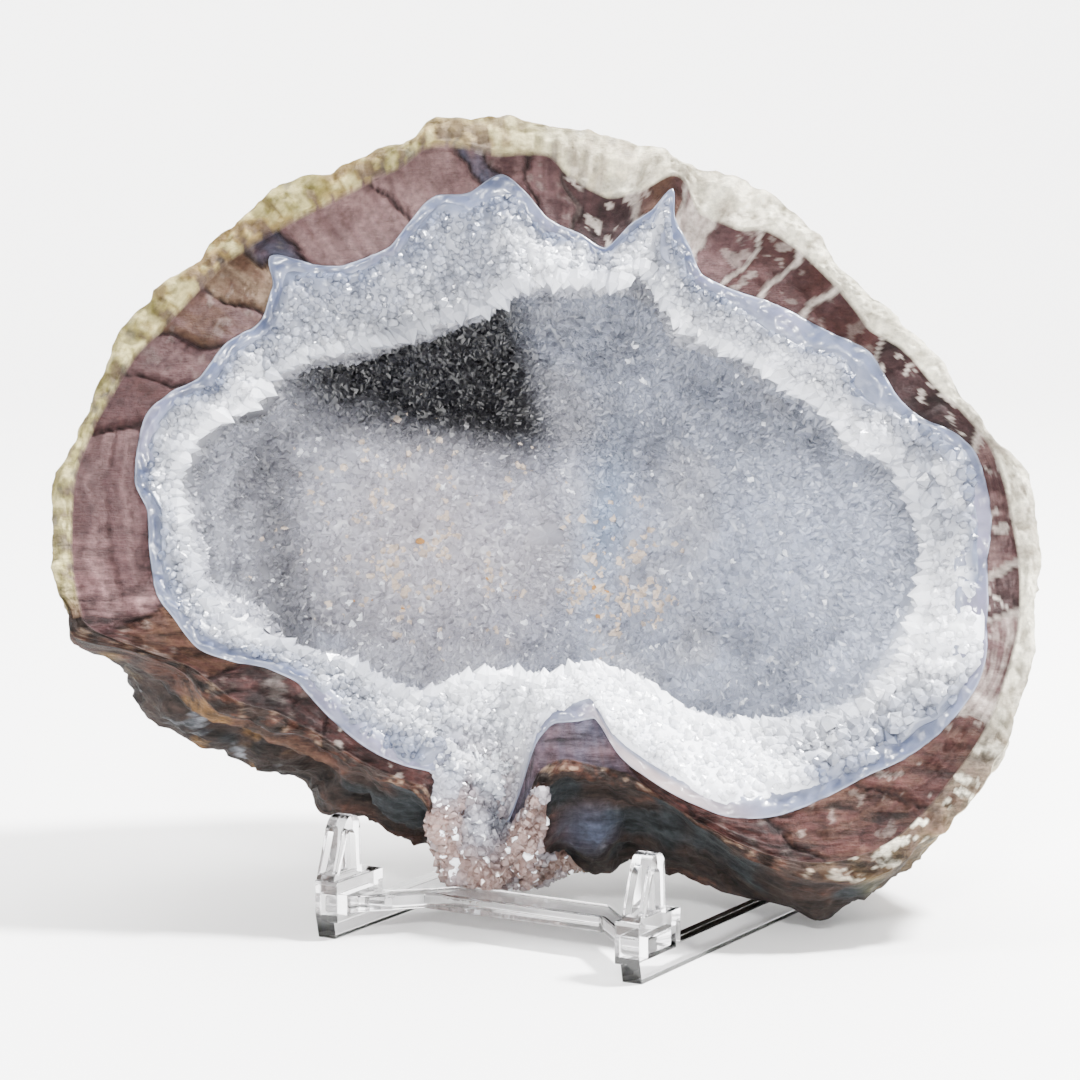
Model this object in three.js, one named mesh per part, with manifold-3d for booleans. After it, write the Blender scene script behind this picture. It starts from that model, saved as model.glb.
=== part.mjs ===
// A broken geode half leaning back on a small clear easel.
// Millimetres, +Z up. The hollow faces -Y, and the long way of the stone is X.
// The stone is drawn in its own frame: x across the broken face, y up the face, z out of the hollow.
// Angles go round the face from its right-hand end, by way of the top.
import * as THREE from 'three';
import { mergeVertices } from 'three/addons/utils/BufferGeometryUtils.js';
import Module from 'manifold-3d';

const wasm = await Module();
wasm.setup();

// How the stone sits
const faceCentre = new THREE.Vector3(1.5, 0, 61.9);
const faceLeanDegrees = 17;
const stoneDepth = 64;
const axisRise = 8;
const restHeight = 4.15;
const restSoftness = 0.6;
// Past the right-hand rail nothing carries the stone, and it hangs a little lower
const hangDepth = 3.1;
const hangStart = 6;
const hangFull = 11;

// Loops of the broken face, as [angle, millimetres from the face centre]
const frontEdge = [
  [0, 74], [10, 70.5], [20, 66], [30, 62], [40, 60.5], [50, 61], [62, 62], [74, 61], [82, 61],
  [90, 62], [98, 63.5], [105, 66], [110, 64], [120, 64.5], [130, 67], [140, 68], [150, 70.5],
  [160, 73], [170, 74], [178, 76], [185, 75.5], [193, 76], [198, 67], [203, 61], [210, 58],
  [216, 53], [225, 49.5], [235, 47.5], [245, 46.5], [250, 50], [255, 54], [260, 54.5], [268, 41],
  [273, 39.5], [280, 41], [286, 43], [290, 46], [295, 53], [300, 61], [305, 67.5], [310, 72],
  [317, 75], [325, 76.5], [335, 76.5], [343, 76.5], [350, 75],
];
const bellyEdge = [
  [0, 76], [10, 72.5], [20, 68.5], [30, 64.5], [45, 63], [60, 64], [75, 63.5], [90, 64.5],
  [105, 67], [120, 67], [140, 70.5], [160, 75.5], [178, 79], [190, 79.5], [197, 74], [203, 70.5],
  [210, 67.5], [217, 63], [225, 60], [235, 57], [245, 55], [255, 55.5], [265, 56], [275, 56],
  [282, 55.5], [289, 59], [295, 65], [301, 70], [308, 74], [316, 77.5], [325, 79], [335, 79.5],
  [345, 79], [353, 78],
];
const rindEdge = [
  [0, 70.5], [8, 69], [14, 66], [20, 62.5], [26, 60.5], [32, 57.5], [40, 57.5], [47, 57.5],
  [53, 57], [58, 54.5], [64, 54], [70, 58.3], [75, 54], [80, 52], [86, 54], [91, 58], [98, 58.5],
  [104, 61], [108, 62], [113, 60.5], [120, 60.5], [130, 62], [137, 63.8], [142, 65], [148, 65.8],
  [153, 67], [158, 69], [163, 70], [168, 71.5], [176, 73], [185, 73], [192, 72.5], [198, 64.5],
  [203, 58.5], [210, 55], [216, 50.5], [225, 47.5], [235, 46.3], [245, 45], [250, 49], [255, 53.2],
  [260, 53.2], [268, 38.5], [273, 37], [280, 38.5], [286, 40.5], [290, 44.5], [295, 51], [300, 58],
  [305, 64], [310, 68], [317, 71], [325, 72], [335, 73], [345, 73], [353, 72],
];
const jasperEdge = [
  [0, 67.5], [8, 66.5], [12, 64], [16, 59], [21, 56.5], [27, 56], [35, 52], [45, 48.5], [53, 46],
  [58, 45.5], [64, 49], [68, 52], [70, 56], [72, 52], [75, 48.5], [79, 44], [84, 45.5], [90, 47.5],
  [94, 52], [98, 55.5], [104, 53.5], [109, 54.5], [115, 52], [120, 50], [128, 51.5], [132, 55],
  [136, 60.5], [139, 57], [145, 55], [151, 57.5], [157, 58.5], [161, 62], [166, 64.5], [174, 64],
  [179, 61.5], [190, 61], [195, 59], [200, 57], [204, 53], [208, 48.5], [214, 45.5], [222, 45],
  [232, 44.5], [240, 43.5], [246, 42.5], [250, 46.5], [255, 51], [259, 50.5], [267, 34],
  [272, 31.5], [282, 31.5], [286, 38], [290, 42.5], [296, 49], [300, 53], [306, 56.5], [313, 59],
  [320, 61.5], [326, 65], [333, 68], [340, 69.5], [348, 68], [355, 67],
];
const bandWidth = [
  [0, 5], [15, 3], [25, 5], [35, 5.5], [45, 4], [55, 2.5], [62, 3], [68, 6], [72, 6], [78, 3],
  [88, 3], [96, 6], [105, 4], [112, 3], [120, 2], [130, 2], [135, 5], [140, 2.5], [155, 3],
  [170, 3.5], [180, 2], [190, 2.6], [200, 4], [210, 3], [225, 3.6], [240, 2.6], [255, 2.4],
  [262, 4], [270, 3], [285, 3.5], [300, 4], [320, 4], [340, 5],
];
const lipEdge = [
  [0, 58], [6, 56], [11, 54], [15, 48.5], [20, 47.5], [26, 45.5], [31, 43], [38, 41.5], [46, 39.5],
  [56, 38], [62, 39.5], [67, 42], [70, 43.5], [73, 39], [80, 38], [90, 37.5], [99, 37], [105, 35.5],
  [112, 36.5], [120, 37.5], [130, 39], [138, 42], [144, 46], [150, 48.5], [158, 50], [162, 54],
  [166, 56.5], [172, 58], [177, 57.5], [184, 56], [192, 54.5], [199, 51], [205, 45.5], [210, 41.5],
  [216, 38], [225, 36], [234, 33.5], [240, 28], [248, 25], [256, 23.5], [266, 24], [280, 22.5],
  [290, 23.5], [296, 26], [301, 28.5], [305, 35], [310, 40], [315, 44], [322, 50], [331, 56],
  [340, 58], [350, 58.5],
];
const hollowEdge = [
  [0, 57], [10, 55], [20, 52], [40, 48], [55, 45.5], [70, 45], [90, 45], [110, 45], [130, 48],
  [150, 55], [165, 61], [180, 63.5], [195, 61], [210, 51], [225, 44], [240, 38], [255, 34],
  [270, 33], [285, 34], [300, 40], [315, 49], [330, 55], [345, 57],
];

// How far each loop stands out of the mean plane of the face, as [angle, millimetres]
const faceHeight = [
  [0, 0], [30, 1], [60, -0.5], [90, 0.5], [105, 1.5], [135, 0], [165, 0.5], [190, 0], [205, -0.5],
  [225, 0], [244, 0.5], [250, -5], [255, -11], [262, -11], [267, 2], [275, 3], [284, 3], [292, 5],
  [300, 7], [310, 5], [325, 2], [345, 0.5],
];
const lipHeight = [
  [0, -6], [15, -3], [40, -3.5], [68, -5], [74, 1], [88, 2], [100, 0.5], [108, -4], [130, -6],
  [145, -4], [165, -3], [190, -3.5], [205, -4], [225, -5], [240, -7], [256, -10], [280, -11],
  [300, -10], [312, -8], [330, -6], [345, -5],
];
const ledgeDrop = [
  [0, 0.6], [30, 1], [60, 0.8], [90, 1.2], [100, 2.4], [130, 2.2], [165, 2], [190, 0.8],
  [220, 0.5], [260, 0.4], [290, 0.5], [308, 1.4], [335, 0.8],
];

// The three layers behind the face, as the room each keeps behind the crystals
const gap = 0.3;
const rockWall = { extraWidth: 8, floorDepth: 56.5 };
const bandWall = { extraWidth: 4.6, floorDepth: 53.5 };
const crystalWall = { extraWidth: 0, floorDepth: 49 };
const bellyShare = 0.22;
const domeRoundness = 0.72;

// Mesh density: columns round the face and rings down each dome
const faceColumns = 96;
const rockRings = 16;
const wallRings = 10;
const crystalRings = 22;

// Crystals of the hollow, and the forms that the crust makes under them
const crystalHeight = 2.3;
const crystalSpread = 0.9;
const rimCrystalHeight = 1.7;
const hollowHeart = new THREE.Vector3(0, 3, -14);
const hollowForms = [
  { at: [4, 30, -38], size: [9, 12, 12], height: 6 },
  { at: [7, 14, -46], size: [7, 12, 12], height: 6.5 },
  { at: [8, -4, -47], size: [6, 12, 12], height: 5.5 },
  { at: [11, -20, -40], size: [7, 10, 12], height: 5 },
  { at: [-55, -11, -22], size: [7, 6, 9], height: 4 },
  { at: [-58, 4, -20], size: [6, 7, 9], height: 3 },
  { at: [44, -22, -24], size: [14, 7, 12], height: 4.5 },
  { at: [30, -30, -30], size: [14, 7, 12], height: 3.5 },
];

// Lumps, ridges and the knob on the outside of the rock
const skinWaves = [
  { way: [0.12, 0.07, 0.05], height: 0.9, start: 0.4 },
  { way: [-0.08, 0.15, 0.09], height: 0.8, start: 2.1 },
  { way: [0.05, -0.11, 0.21], height: 0.7, start: 4.4 },
  { way: [0.31, 0.12, -0.16], height: 0.45, start: 1.3 },
  { way: [-0.22, 0.34, 0.13], height: 0.4, start: 5.2 },
];
const skinJitter = 0.35;
const ridgeHeight = 1.1;
const ridgesRound = 30;
const undersideFrom = 195;
const undersideTo = 312;
const knob = { at: [6, -49, -5], size: 6.5, height: 4.5 };
const chin = { at: [34, -60, -5], size: 12, height: 4.5 };

// Easel
const standTurnDegrees = -30.5;
const standPlace = new THREE.Vector3(-9.9, -27.2, 0);
const railSpacing = 52.4;
const railWidth = 3.2;
const railHeight = 3.8;
const railLength = 97.5;
const blockLength = 12.5;
const blockTop = 8.9;
const bossWidth = 0.8;
const bossBottom = 2.7;
const fingerBase = 8;
const fingerTop = 18.2;
const fingerSlope = 3.6;
const fingerRound = 2.1;
const recessDepth = 1;
const recessMargin = 1.5;
const slot = { from: 2.7, to: 11.1, bottom: 3.3, top: 6.5 };
const armBase = 10;
const armHeight = 46;
const armLean = 12;
const armTopWidth = 6;
const strapThickness = 2.6;
const strapBottom = 3.6;
const strapDepth = 7.4;
const strapBend = 8.4;
const strapFront = 3.1;

const materials = {
  rock: new THREE.MeshStandardMaterial({ color: 0x7a5d55, roughness: 0.85, metalness: 0 }),
  chalcedony: new THREE.MeshStandardMaterial({ color: 0x8b97ad, roughness: 0.3, metalness: 0 }),
  quartz: new THREE.MeshStandardMaterial({ color: 0xc9ced8, roughness: 0.35, metalness: 0 }),
  clear: new THREE.MeshStandardMaterial({
    color: 0xe8e6ee, roughness: 0.08, metalness: 0, transparent: true, opacity: 0.4,
  }),
};

// A smooth closed curve through [angle, value] pairs that never swings past a pair
function closedCurve(pairs) {
  const count = pairs.length;
  const spanAfter = (i) => ((pairs[(i + 1) % count][0] - pairs[i][0] + 360) % 360);
  const slopes = pairs.map((pair, i) => (pairs[(i + 1) % count][1] - pair[1]) / spanAfter(i));
  const tangents = slopes.map((slope, i) => {
    const before = slopes[(i + count - 1) % count];
    return before * slope > 0 ? (2 * before * slope) / (before + slope) : 0;
  });
  return (angle) => {
    const turn = ((angle % 360) + 360) % 360;
    let i = count - 1;
    while (i > 0 && pairs[i][0] > turn) i -= 1;
    const span = spanAfter(i);
    const t = (turn - pairs[i][0]) / span;
    const next = (i + 1) % count;
    const cubes = t * t * (3 - 2 * t);
    const leave = t * (1 - t) * (1 - t) * span * tangents[i];
    const arrive = t * t * (t - 1) * span * tangents[next];
    return pairs[i][1] * (1 - cubes) + pairs[next][1] * cubes + leave + arrive;
  };
}

const loops = {
  front: closedCurve(frontEdge),
  belly: closedCurve(bellyEdge),
  rind: closedCurve(rindEdge),
  jasper: closedCurve(jasperEdge),
  band: closedCurve(bandWidth),
  lip: closedCurve(lipEdge),
  hollow: closedCurve(hollowEdge),
  faceHeight: closedCurve(faceHeight),
  lipHeight: closedCurve(lipHeight),
  ledge: closedCurve(ledgeDrop),
};

const radians = THREE.MathUtils.degToRad;

function scatter(a, b) {
  const value = Math.sin(a * 12.9898 + b * 78.233) * 43758.5453;
  return value - Math.floor(value);
}

function wave(point, waves) {
  let sum = 0;
  for (const { way, height, start } of waves) {
    sum += height * Math.sin(way[0] * point.x + way[1] * point.y + way[2] * point.z + start);
  }
  return sum;
}

function swell(point, { at, size, height }) {
  const spread = Array.isArray(size) ? size : [size, size, size];
  const far = ((point.x - at[0]) / spread[0]) ** 2
    + ((point.y - at[1]) / spread[1]) ** 2
    + ((point.z - at[2]) / spread[2]) ** 2;
  return height * Math.exp(-far);
}

function polar(angle, radius, height, rise = 0) {
  const turn = radians(angle);
  return new THREE.Vector3(radius * Math.cos(turn), radius * Math.sin(turn) + rise, height);
}

// The underside of the rock is ridged along its depth, strongest half way round it
function undersideRidge(angle) {
  const share = (angle - undersideFrom) / (undersideTo - undersideFrom);
  if (share <= 0 || share >= 1) return 0;
  return ridgeHeight * Math.sin(Math.PI * share) * Math.sin(radians(angle * ridgesRound));
}

// Outside of the rock: share 0 is the front edge, share 1 is the middle of the back
function skinPoint(angle, share) {
  const turn = radians(share * 90);
  const fullness = Math.cos(turn) ** domeRoundness;
  const out = THREE.MathUtils.smoothstep(share, 0, bellyShare);
  const radius = THREE.MathUtils.lerp(loops.front(angle), loops.belly(angle), out) * fullness;
  const height = loops.faceHeight(angle) * (1 - Math.sin(turn)) - stoneDepth * Math.sin(turn);
  const point = polar(angle, radius, height, axisRise * Math.sin(turn) ** 2);
  const grown = wave(point, skinWaves) + undersideRidge(angle) + swell(point, knob)
    + swell(point, chin);
  const away = point.clone().sub(hollowHeart).normalize();
  return point.addScaledVector(away, grown * Math.min(1, share * 8));
}

// A wall of the hollow: share 0 is on the broken face, share 1 is the middle of the floor
function wallPoint(angle, share, radiusAtFace, heightAtFace, wall, inset = 0) {
  const turn = radians(share * 90);
  const out = THREE.MathUtils.smoothstep(share, 0, bellyShare);
  const wide = loops.hollow(angle) + wall.extraWidth;
  const radius = THREE.MathUtils.lerp(radiusAtFace, wide, out) * Math.cos(turn) ** domeRoundness;
  const height = heightAtFace * (1 - Math.sin(turn)) - wall.floorDepth * Math.sin(turn);
  const hollowRise = (axisRise - 2) * Math.sin(turn) ** 2;
  const squeeze = Math.max(0, radius - inset * Math.cos(turn));
  return polar(angle, squeeze, height + inset * Math.sin(turn), hollowRise);
}

// Rings of a dome laid out like a honeycomb: ring k has 6k points, and ring 0 is one point
function ringOf(count, place) {
  return Array.from({ length: count }, (_, i) => place((360 * i) / count, i));
}

function domeRings(rings, place) {
  return Array.from({ length: rings + 1 }, (_, k) => (
    ringOf(Math.max(1, 6 * k), (angle, i) => place(angle, 1 - k / rings, k, i))
  ));
}

// Joins rings, the first and last a single point, into one closed skin
function skinFromRings(rings) {
  const points = rings.flat();
  const faces = [];
  let first = 0;
  for (let r = 0; r + 1 < rings.length; r += 1) {
    stitch(faces, first, rings[r].length, first + rings[r].length, rings[r + 1].length);
    first += rings[r].length;
  }
  const geometry = new THREE.BufferGeometry();
  geometry.setAttribute('position', new THREE.Float32BufferAttribute(
    points.flatMap((point) => [point.x, point.y, point.z]),
    3,
  ));
  geometry.setIndex(faces);
  return geometry;
}

// Walks round both rings at once, always stepping on the ring that lags behind
function stitch(faces, startA, countA, startB, countB) {
  const stepsA = countA > 1 ? countA : 0;
  const stepsB = countB > 1 ? countB : 0;
  let a = 0;
  let b = 0;
  while (a < stepsA || b < stepsB) {
    const lag = (a + 1) * countB - (b + 1) * countA;
    const aIsNext = lag < 0 || (lag === 0 && countA < countB);
    const moveA = b >= stepsB || (a < stepsA && aIsNext);
    const hereA = startA + (a % countA);
    const hereB = startB + (b % countB);
    if (moveA) {
      faces.push(hereA, startA + ((a + 1) % countA), hereB);
      a += 1;
    } else {
      faces.push(hereA, startB + ((b + 1) % countB), hereB);
      b += 1;
    }
  }
}

// The face of the rock: weathered rind outside, a ledge, then the jasper down to the chalcedony
function jasperHeight(angle) {
  return loops.faceHeight(angle) - loops.ledge(angle);
}

function rockFaceRings() {
  const rows = [
    (angle) => polar(angle, loops.rind(angle) + gap, loops.faceHeight(angle) + 0.4),
    (angle) => polar(angle, loops.rind(angle) - gap, jasperHeight(angle)),
    (angle, i) => {
      const middle = (loops.rind(angle) + loops.jasper(angle)) / 2;
      return polar(angle, middle, jasperHeight(angle) + scatter(i, 3) - 0.4);
    },
    (angle) => polar(angle, loops.jasper(angle), jasperHeight(angle)),
  ];
  return rows.map((row) => ringOf(faceColumns, row));
}

function rockShell() {
  const outside = domeRings(rockRings, (angle, share, k, i) => {
    const point = skinPoint(angle, share);
    return point.multiplyScalar(1 + (skinJitter * (scatter(k, i) - 0.5)) / 60);
  });
  const inside = domeRings(wallRings, (angle, share) => (
    wallPoint(angle, share, loops.jasper(angle), jasperHeight(angle), rockWall)
  )).slice(0, -1).reverse();
  return skinFromRings([...outside, ...rockFaceRings(), ...inside]);
}

// The chalcedony lining, one hand-width of rings inside the rock with a hair of room between
function bandRadius(angle) {
  return loops.jasper(angle) - loops.band(angle);
}

function bandHeight(angle) {
  return jasperHeight(angle) - 0.3;
}

function chalcedonyBand() {
  const outside = domeRings(wallRings, (angle, share) => (
    wallPoint(angle, share, loops.jasper(angle), jasperHeight(angle), rockWall, gap)
  ));
  outside[wallRings] = ringOf(faceColumns, (angle) => (
    polar(angle, loops.jasper(angle) - gap, jasperHeight(angle) + 0.2)
  ));
  const faceRow = ringOf(faceColumns, (angle) => (
    polar(angle, bandRadius(angle), bandHeight(angle))
  ));
  const inside = domeRings(wallRings, (angle, share) => (
    wallPoint(angle, share, bandRadius(angle), bandHeight(angle), bandWall)
  )).slice(0, -1).reverse();
  return skinFromRings([...outside, faceRow, ...inside]);
}

// Every third point of the honeycomb stands up as a crystal with six flat faces
function isCrystalTip(k, i) {
  if (k === 0) return true;
  const steps = [[1, 0], [0, 1], [-1, 1], [-1, 0], [0, -1], [1, -1]];
  const side = Math.floor(i / k) % 6;
  const along = i % k;
  const corner = steps[side];
  const walk = steps[(side + 2) % 6];
  const q = k * corner[0] + along * walk[0];
  const r = k * corner[1] + along * walk[1];
  return (((q - r) % 3) + 3) % 3 === 0;
}

function crustPoint(angle, share, k, i) {
  const base = wallPoint(angle, share, loops.lip(angle), loops.lipHeight(angle), crystalWall);
  const inward = hollowHeart.clone().sub(base).normalize();
  let push = hollowForms.reduce((sum, form) => sum + swell(base, form), 0);
  if (isCrystalTip(k, i)) push += crystalHeight + crystalSpread * (scatter(k, i) - 0.5);
  return base.addScaledVector(inward, push * THREE.MathUtils.smoothstep(share, 0, 0.08));
}

// Two rows of crystals stand on the broken edge of the crust, between the chalcedony and the lip
function crustFaceRings() {
  const columns = 6 * crystalRings;
  const rowAt = (part, oddRow) => ringOf(columns, (angle, i) => {
    const radius = THREE.MathUtils.lerp(bandRadius(angle) - gap, loops.lip(angle), part);
    const fall = THREE.MathUtils.smoothstep(part, 0, 1.2);
    const height = THREE.MathUtils.lerp(bandHeight(angle), loops.lipHeight(angle), fall);
    const tip = i % 2 === oddRow ? rimCrystalHeight * (0.6 + 0.8 * scatter(i, part)) : 0;
    return polar(angle, radius, height + tip);
  });
  return [rowAt(0.36, 0), rowAt(0.7, 1)];
}

function crystalCrust() {
  const outside = domeRings(wallRings, (angle, share) => (
    wallPoint(angle, share, bandRadius(angle), bandHeight(angle), bandWall, gap)
  ));
  outside[wallRings] = ringOf(faceColumns, (angle) => (
    polar(angle, bandRadius(angle) - gap, bandHeight(angle) + 0.2)
  ));
  const inside = domeRings(crystalRings, crustPoint).reverse();
  return skinFromRings([...outside, ...crustFaceRings(), ...inside]);
}

// Easel pieces are drawn in its own frame: x across the rails, y back along them, z up
function solidOf(geometry) {
  const bare = geometry.clone();
  bare.deleteAttribute('normal');
  bare.deleteAttribute('uv');
  const merged = mergeVertices(bare, 1e-5);
  return new wasm.Manifold(new wasm.Mesh({
    numProp: 3,
    vertProperties: new Float32Array(merged.attributes.position.array),
    triVerts: new Uint32Array(merged.index.array),
  }));
}

function geometryOf(solid) {
  const mesh = solid.getMesh();
  const geometry = new THREE.BufferGeometry();
  geometry.setAttribute('position', new THREE.BufferAttribute(mesh.vertProperties, 3));
  geometry.setIndex(new THREE.BufferAttribute(mesh.triVerts, 1));
  return geometry;
}

// A side view drawn as (y, z) and given a thickness across x, from x = left
function sideExtrude(shape, left, width) {
  const geometry = new THREE.ExtrudeGeometry(shape, {
    depth: width, bevelEnabled: false, curveSegments: 6,
  });
  geometry.rotateX(Math.PI / 2);
  geometry.rotateZ(Math.PI / 2);
  return geometry.translate(left, 0, 0);
}

function rectangle(target, from, to, bottom, top) {
  target.moveTo(from, bottom);
  target.lineTo(to, bottom);
  target.lineTo(to, top);
  target.lineTo(from, top);
  target.closePath();
  return target;
}

function slotHole() {
  return rectangle(new THREE.Path(), slot.from, slot.to, slot.bottom, slot.top);
}

function railProfile() {
  const lean = Math.tan(radians(armLean)) * armHeight;
  const armFront = railLength - armBase;
  const profile = new THREE.Shape();
  profile.moveTo(0.8, 0);
  profile.lineTo(railLength, 0);
  profile.lineTo(railLength, railHeight);
  profile.lineTo(armFront + lean + armTopWidth, armHeight - 2);
  profile.quadraticCurveTo(
    armFront + lean + armTopWidth, armHeight,
    armFront + lean + armTopWidth - 2, armHeight,
  );
  profile.lineTo(armFront + lean + 1.5, armHeight);
  profile.quadraticCurveTo(armFront + lean, armHeight, armFront + lean - 0.3, armHeight - 1.5);
  profile.lineTo(armFront, railHeight + 2);
  profile.quadraticCurveTo(armFront - 0.4, railHeight, armFront - 3, railHeight);
  profile.lineTo(blockLength, railHeight);
  profile.lineTo(blockLength, blockTop);
  profile.lineTo(fingerBase, blockTop);
  profile.lineTo(fingerBase - 0.4, fingerTop - fingerRound);
  profile.quadraticCurveTo(fingerBase - 0.5, fingerTop, fingerBase - 0.5 - fingerRound, fingerTop);
  profile.quadraticCurveTo(fingerSlope, fingerTop, fingerSlope - 0.8, fingerTop - fingerRound);
  profile.lineTo(0.3, blockTop);
  profile.lineTo(0, blockTop);
  profile.lineTo(0, railHeight);
  profile.closePath();
  profile.holes.push(slotHole());
  return profile;
}

function fingerRecess() {
  const arch = new THREE.Shape();
  arch.moveTo(0.3 + recessMargin, blockTop + 0.6);
  arch.lineTo(fingerBase - recessMargin, blockTop + 0.6);
  arch.lineTo(fingerBase - 0.4 - recessMargin, fingerTop - fingerRound - 0.8);
  arch.quadraticCurveTo(
    fingerBase - 1.2 - recessMargin, fingerTop - recessMargin,
    fingerSlope + 0.6, fingerTop - fingerRound - 0.8,
  );
  arch.closePath();
  return arch;
}

function rail(side) {
  const centre = (side * railSpacing) / 2;
  const left = centre - railWidth / 2;
  const boss = rectangle(new THREE.Shape(), 0, blockLength, bossBottom, blockTop);
  boss.holes.push(slotHole());
  const bossLeft = side > 0 ? left - bossWidth : left + railWidth - 1;
  let solid = solidOf(sideExtrude(railProfile(), left, railWidth));
  solid = solid.add(solidOf(sideExtrude(boss, bossLeft, bossWidth + 1)));
  for (const recessLeft of [left - 1, left + railWidth - recessDepth]) {
    solid = solid.subtract(solidOf(sideExtrude(fingerRecess(), recessLeft, recessDepth + 1)));
  }
  return geometryOf(solid);
}

// A flat strap that bends back at both ends, drawn from above and given its thickness
function crossbar() {
  const reach = railSpacing / 2 + railWidth / 2 - gap;
  const bendOuter = railSpacing / 2 - 2.4;
  const bendInner = bendOuter - strapBend;
  const cut = strapDepth * 0.41;
  const outline = [
    [reach, strapFront], [bendOuter, strapFront], [bendInner, strapFront + strapBend],
    [-bendInner, strapFront + strapBend], [-bendOuter, strapFront], [-reach, strapFront],
    [-reach, strapFront + strapDepth], [-bendOuter + cut, strapFront + strapDepth],
    [-bendInner + cut, strapFront + strapBend + strapDepth],
    [bendInner - cut, strapFront + strapBend + strapDepth],
    [bendOuter - cut, strapFront + strapDepth], [reach, strapFront + strapDepth],
  ];
  const shape = new THREE.Shape(outline.map(([x, y]) => new THREE.Vector2(x, y)));
  const geometry = new THREE.ExtrudeGeometry(shape, {
    depth: strapThickness, bevelEnabled: false,
  });
  return geometry.translate(0, 0, strapBottom);
}

function named(name, geometry, material) {
  const mesh = new THREE.Mesh(geometry, material);
  mesh.name = name;
  return mesh;
}

// The lowest that the skin may come at a place on the ground
function lowestSkin(x, y) {
  const turn = radians(-standTurnDegrees);
  const across = (x - standPlace.x) * Math.cos(turn) - (y - standPlace.y) * Math.sin(turn);
  const past = across - railSpacing / 2;
  return restHeight - hangDepth * THREE.MathUtils.smoothstep(past, hangStart, hangFull);
}

// Puts a stone geometry where it sits, and keeps its skin just clear of the rails under it
function seated(geometry) {
  geometry.rotateX(Math.PI / 2 - radians(faceLeanDegrees));
  geometry.translate(faceCentre.x, faceCentre.y, faceCentre.z);
  const spots = geometry.attributes.position;
  for (let i = 0; i < spots.count; i += 1) {
    const lowest = lowestSkin(spots.getX(i), spots.getY(i));
    const over = (spots.getZ(i) - lowest) / restSoftness;
    if (over < 12) spots.setZ(i, lowest + restSoftness * Math.log(1 + Math.exp(over)));
  }
  return geometry;
}

const easel = new THREE.Group();
easel.add(named('stand_left_rail', rail(-1), materials.clear));
easel.add(named('stand_right_rail', rail(1), materials.clear));
easel.add(named('stand_crossbar', crossbar(), materials.clear));
easel.rotation.z = radians(standTurnDegrees);
easel.position.copy(standPlace);

const model = new THREE.Group();
model.add(named('rock_shell', seated(rockShell()), materials.rock));
model.add(named('chalcedony_band', seated(chalcedonyBand()), materials.chalcedony));
model.add(named('crystal_crust', seated(crystalCrust()), materials.quartz));
model.add(easel);

// The origin is under the middle of the whole model, on the surface that it stands on
const geodeOnEasel = new THREE.Group();
geodeOnEasel.add(model);
const box = new THREE.Box3().setFromObject(model);
const middle = box.getCenter(new THREE.Vector3());
model.position.set(-middle.x, -middle.y, -box.min.z);

export default geodeOnEasel;
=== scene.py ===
import math
import bpy
import bmesh
import numpy as np
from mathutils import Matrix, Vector


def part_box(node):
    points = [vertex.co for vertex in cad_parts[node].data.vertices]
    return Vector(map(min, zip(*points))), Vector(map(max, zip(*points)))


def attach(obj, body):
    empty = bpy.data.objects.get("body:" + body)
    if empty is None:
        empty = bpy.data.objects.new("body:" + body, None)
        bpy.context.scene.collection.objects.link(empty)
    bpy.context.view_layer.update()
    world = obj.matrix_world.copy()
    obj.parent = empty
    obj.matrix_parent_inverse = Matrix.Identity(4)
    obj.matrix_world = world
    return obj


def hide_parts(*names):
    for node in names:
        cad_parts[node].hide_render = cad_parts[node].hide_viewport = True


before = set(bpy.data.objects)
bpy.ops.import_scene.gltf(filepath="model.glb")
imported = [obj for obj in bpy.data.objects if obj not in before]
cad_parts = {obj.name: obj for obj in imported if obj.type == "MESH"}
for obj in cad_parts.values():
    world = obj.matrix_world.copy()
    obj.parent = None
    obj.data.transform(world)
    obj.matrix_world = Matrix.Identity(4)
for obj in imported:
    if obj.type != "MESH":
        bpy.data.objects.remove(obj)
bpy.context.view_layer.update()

print("stage: frame loaded")

# Lengths are millimetres until a mesh is made, and the stone has its own frame:
# x across the broken face, y up the face, z out of the hollow, angles from the right-hand end
mm = 0.001

stone = {
    "leanDegrees": 17,
    "depth": 64,
    "axisRise": 8,
    "restHeight": 4.15,
    "restSoftness": 0.6,
    "hang": {"depth": 3.1, "start": 6, "full": 11},   # past the right-hand rail
    "roundness": 0.72,
    "bellyShare": 0.22,
    "heart": (0, 3, -14),
    "centreInSource": (1.5, 0, 61.9),
}

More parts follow.
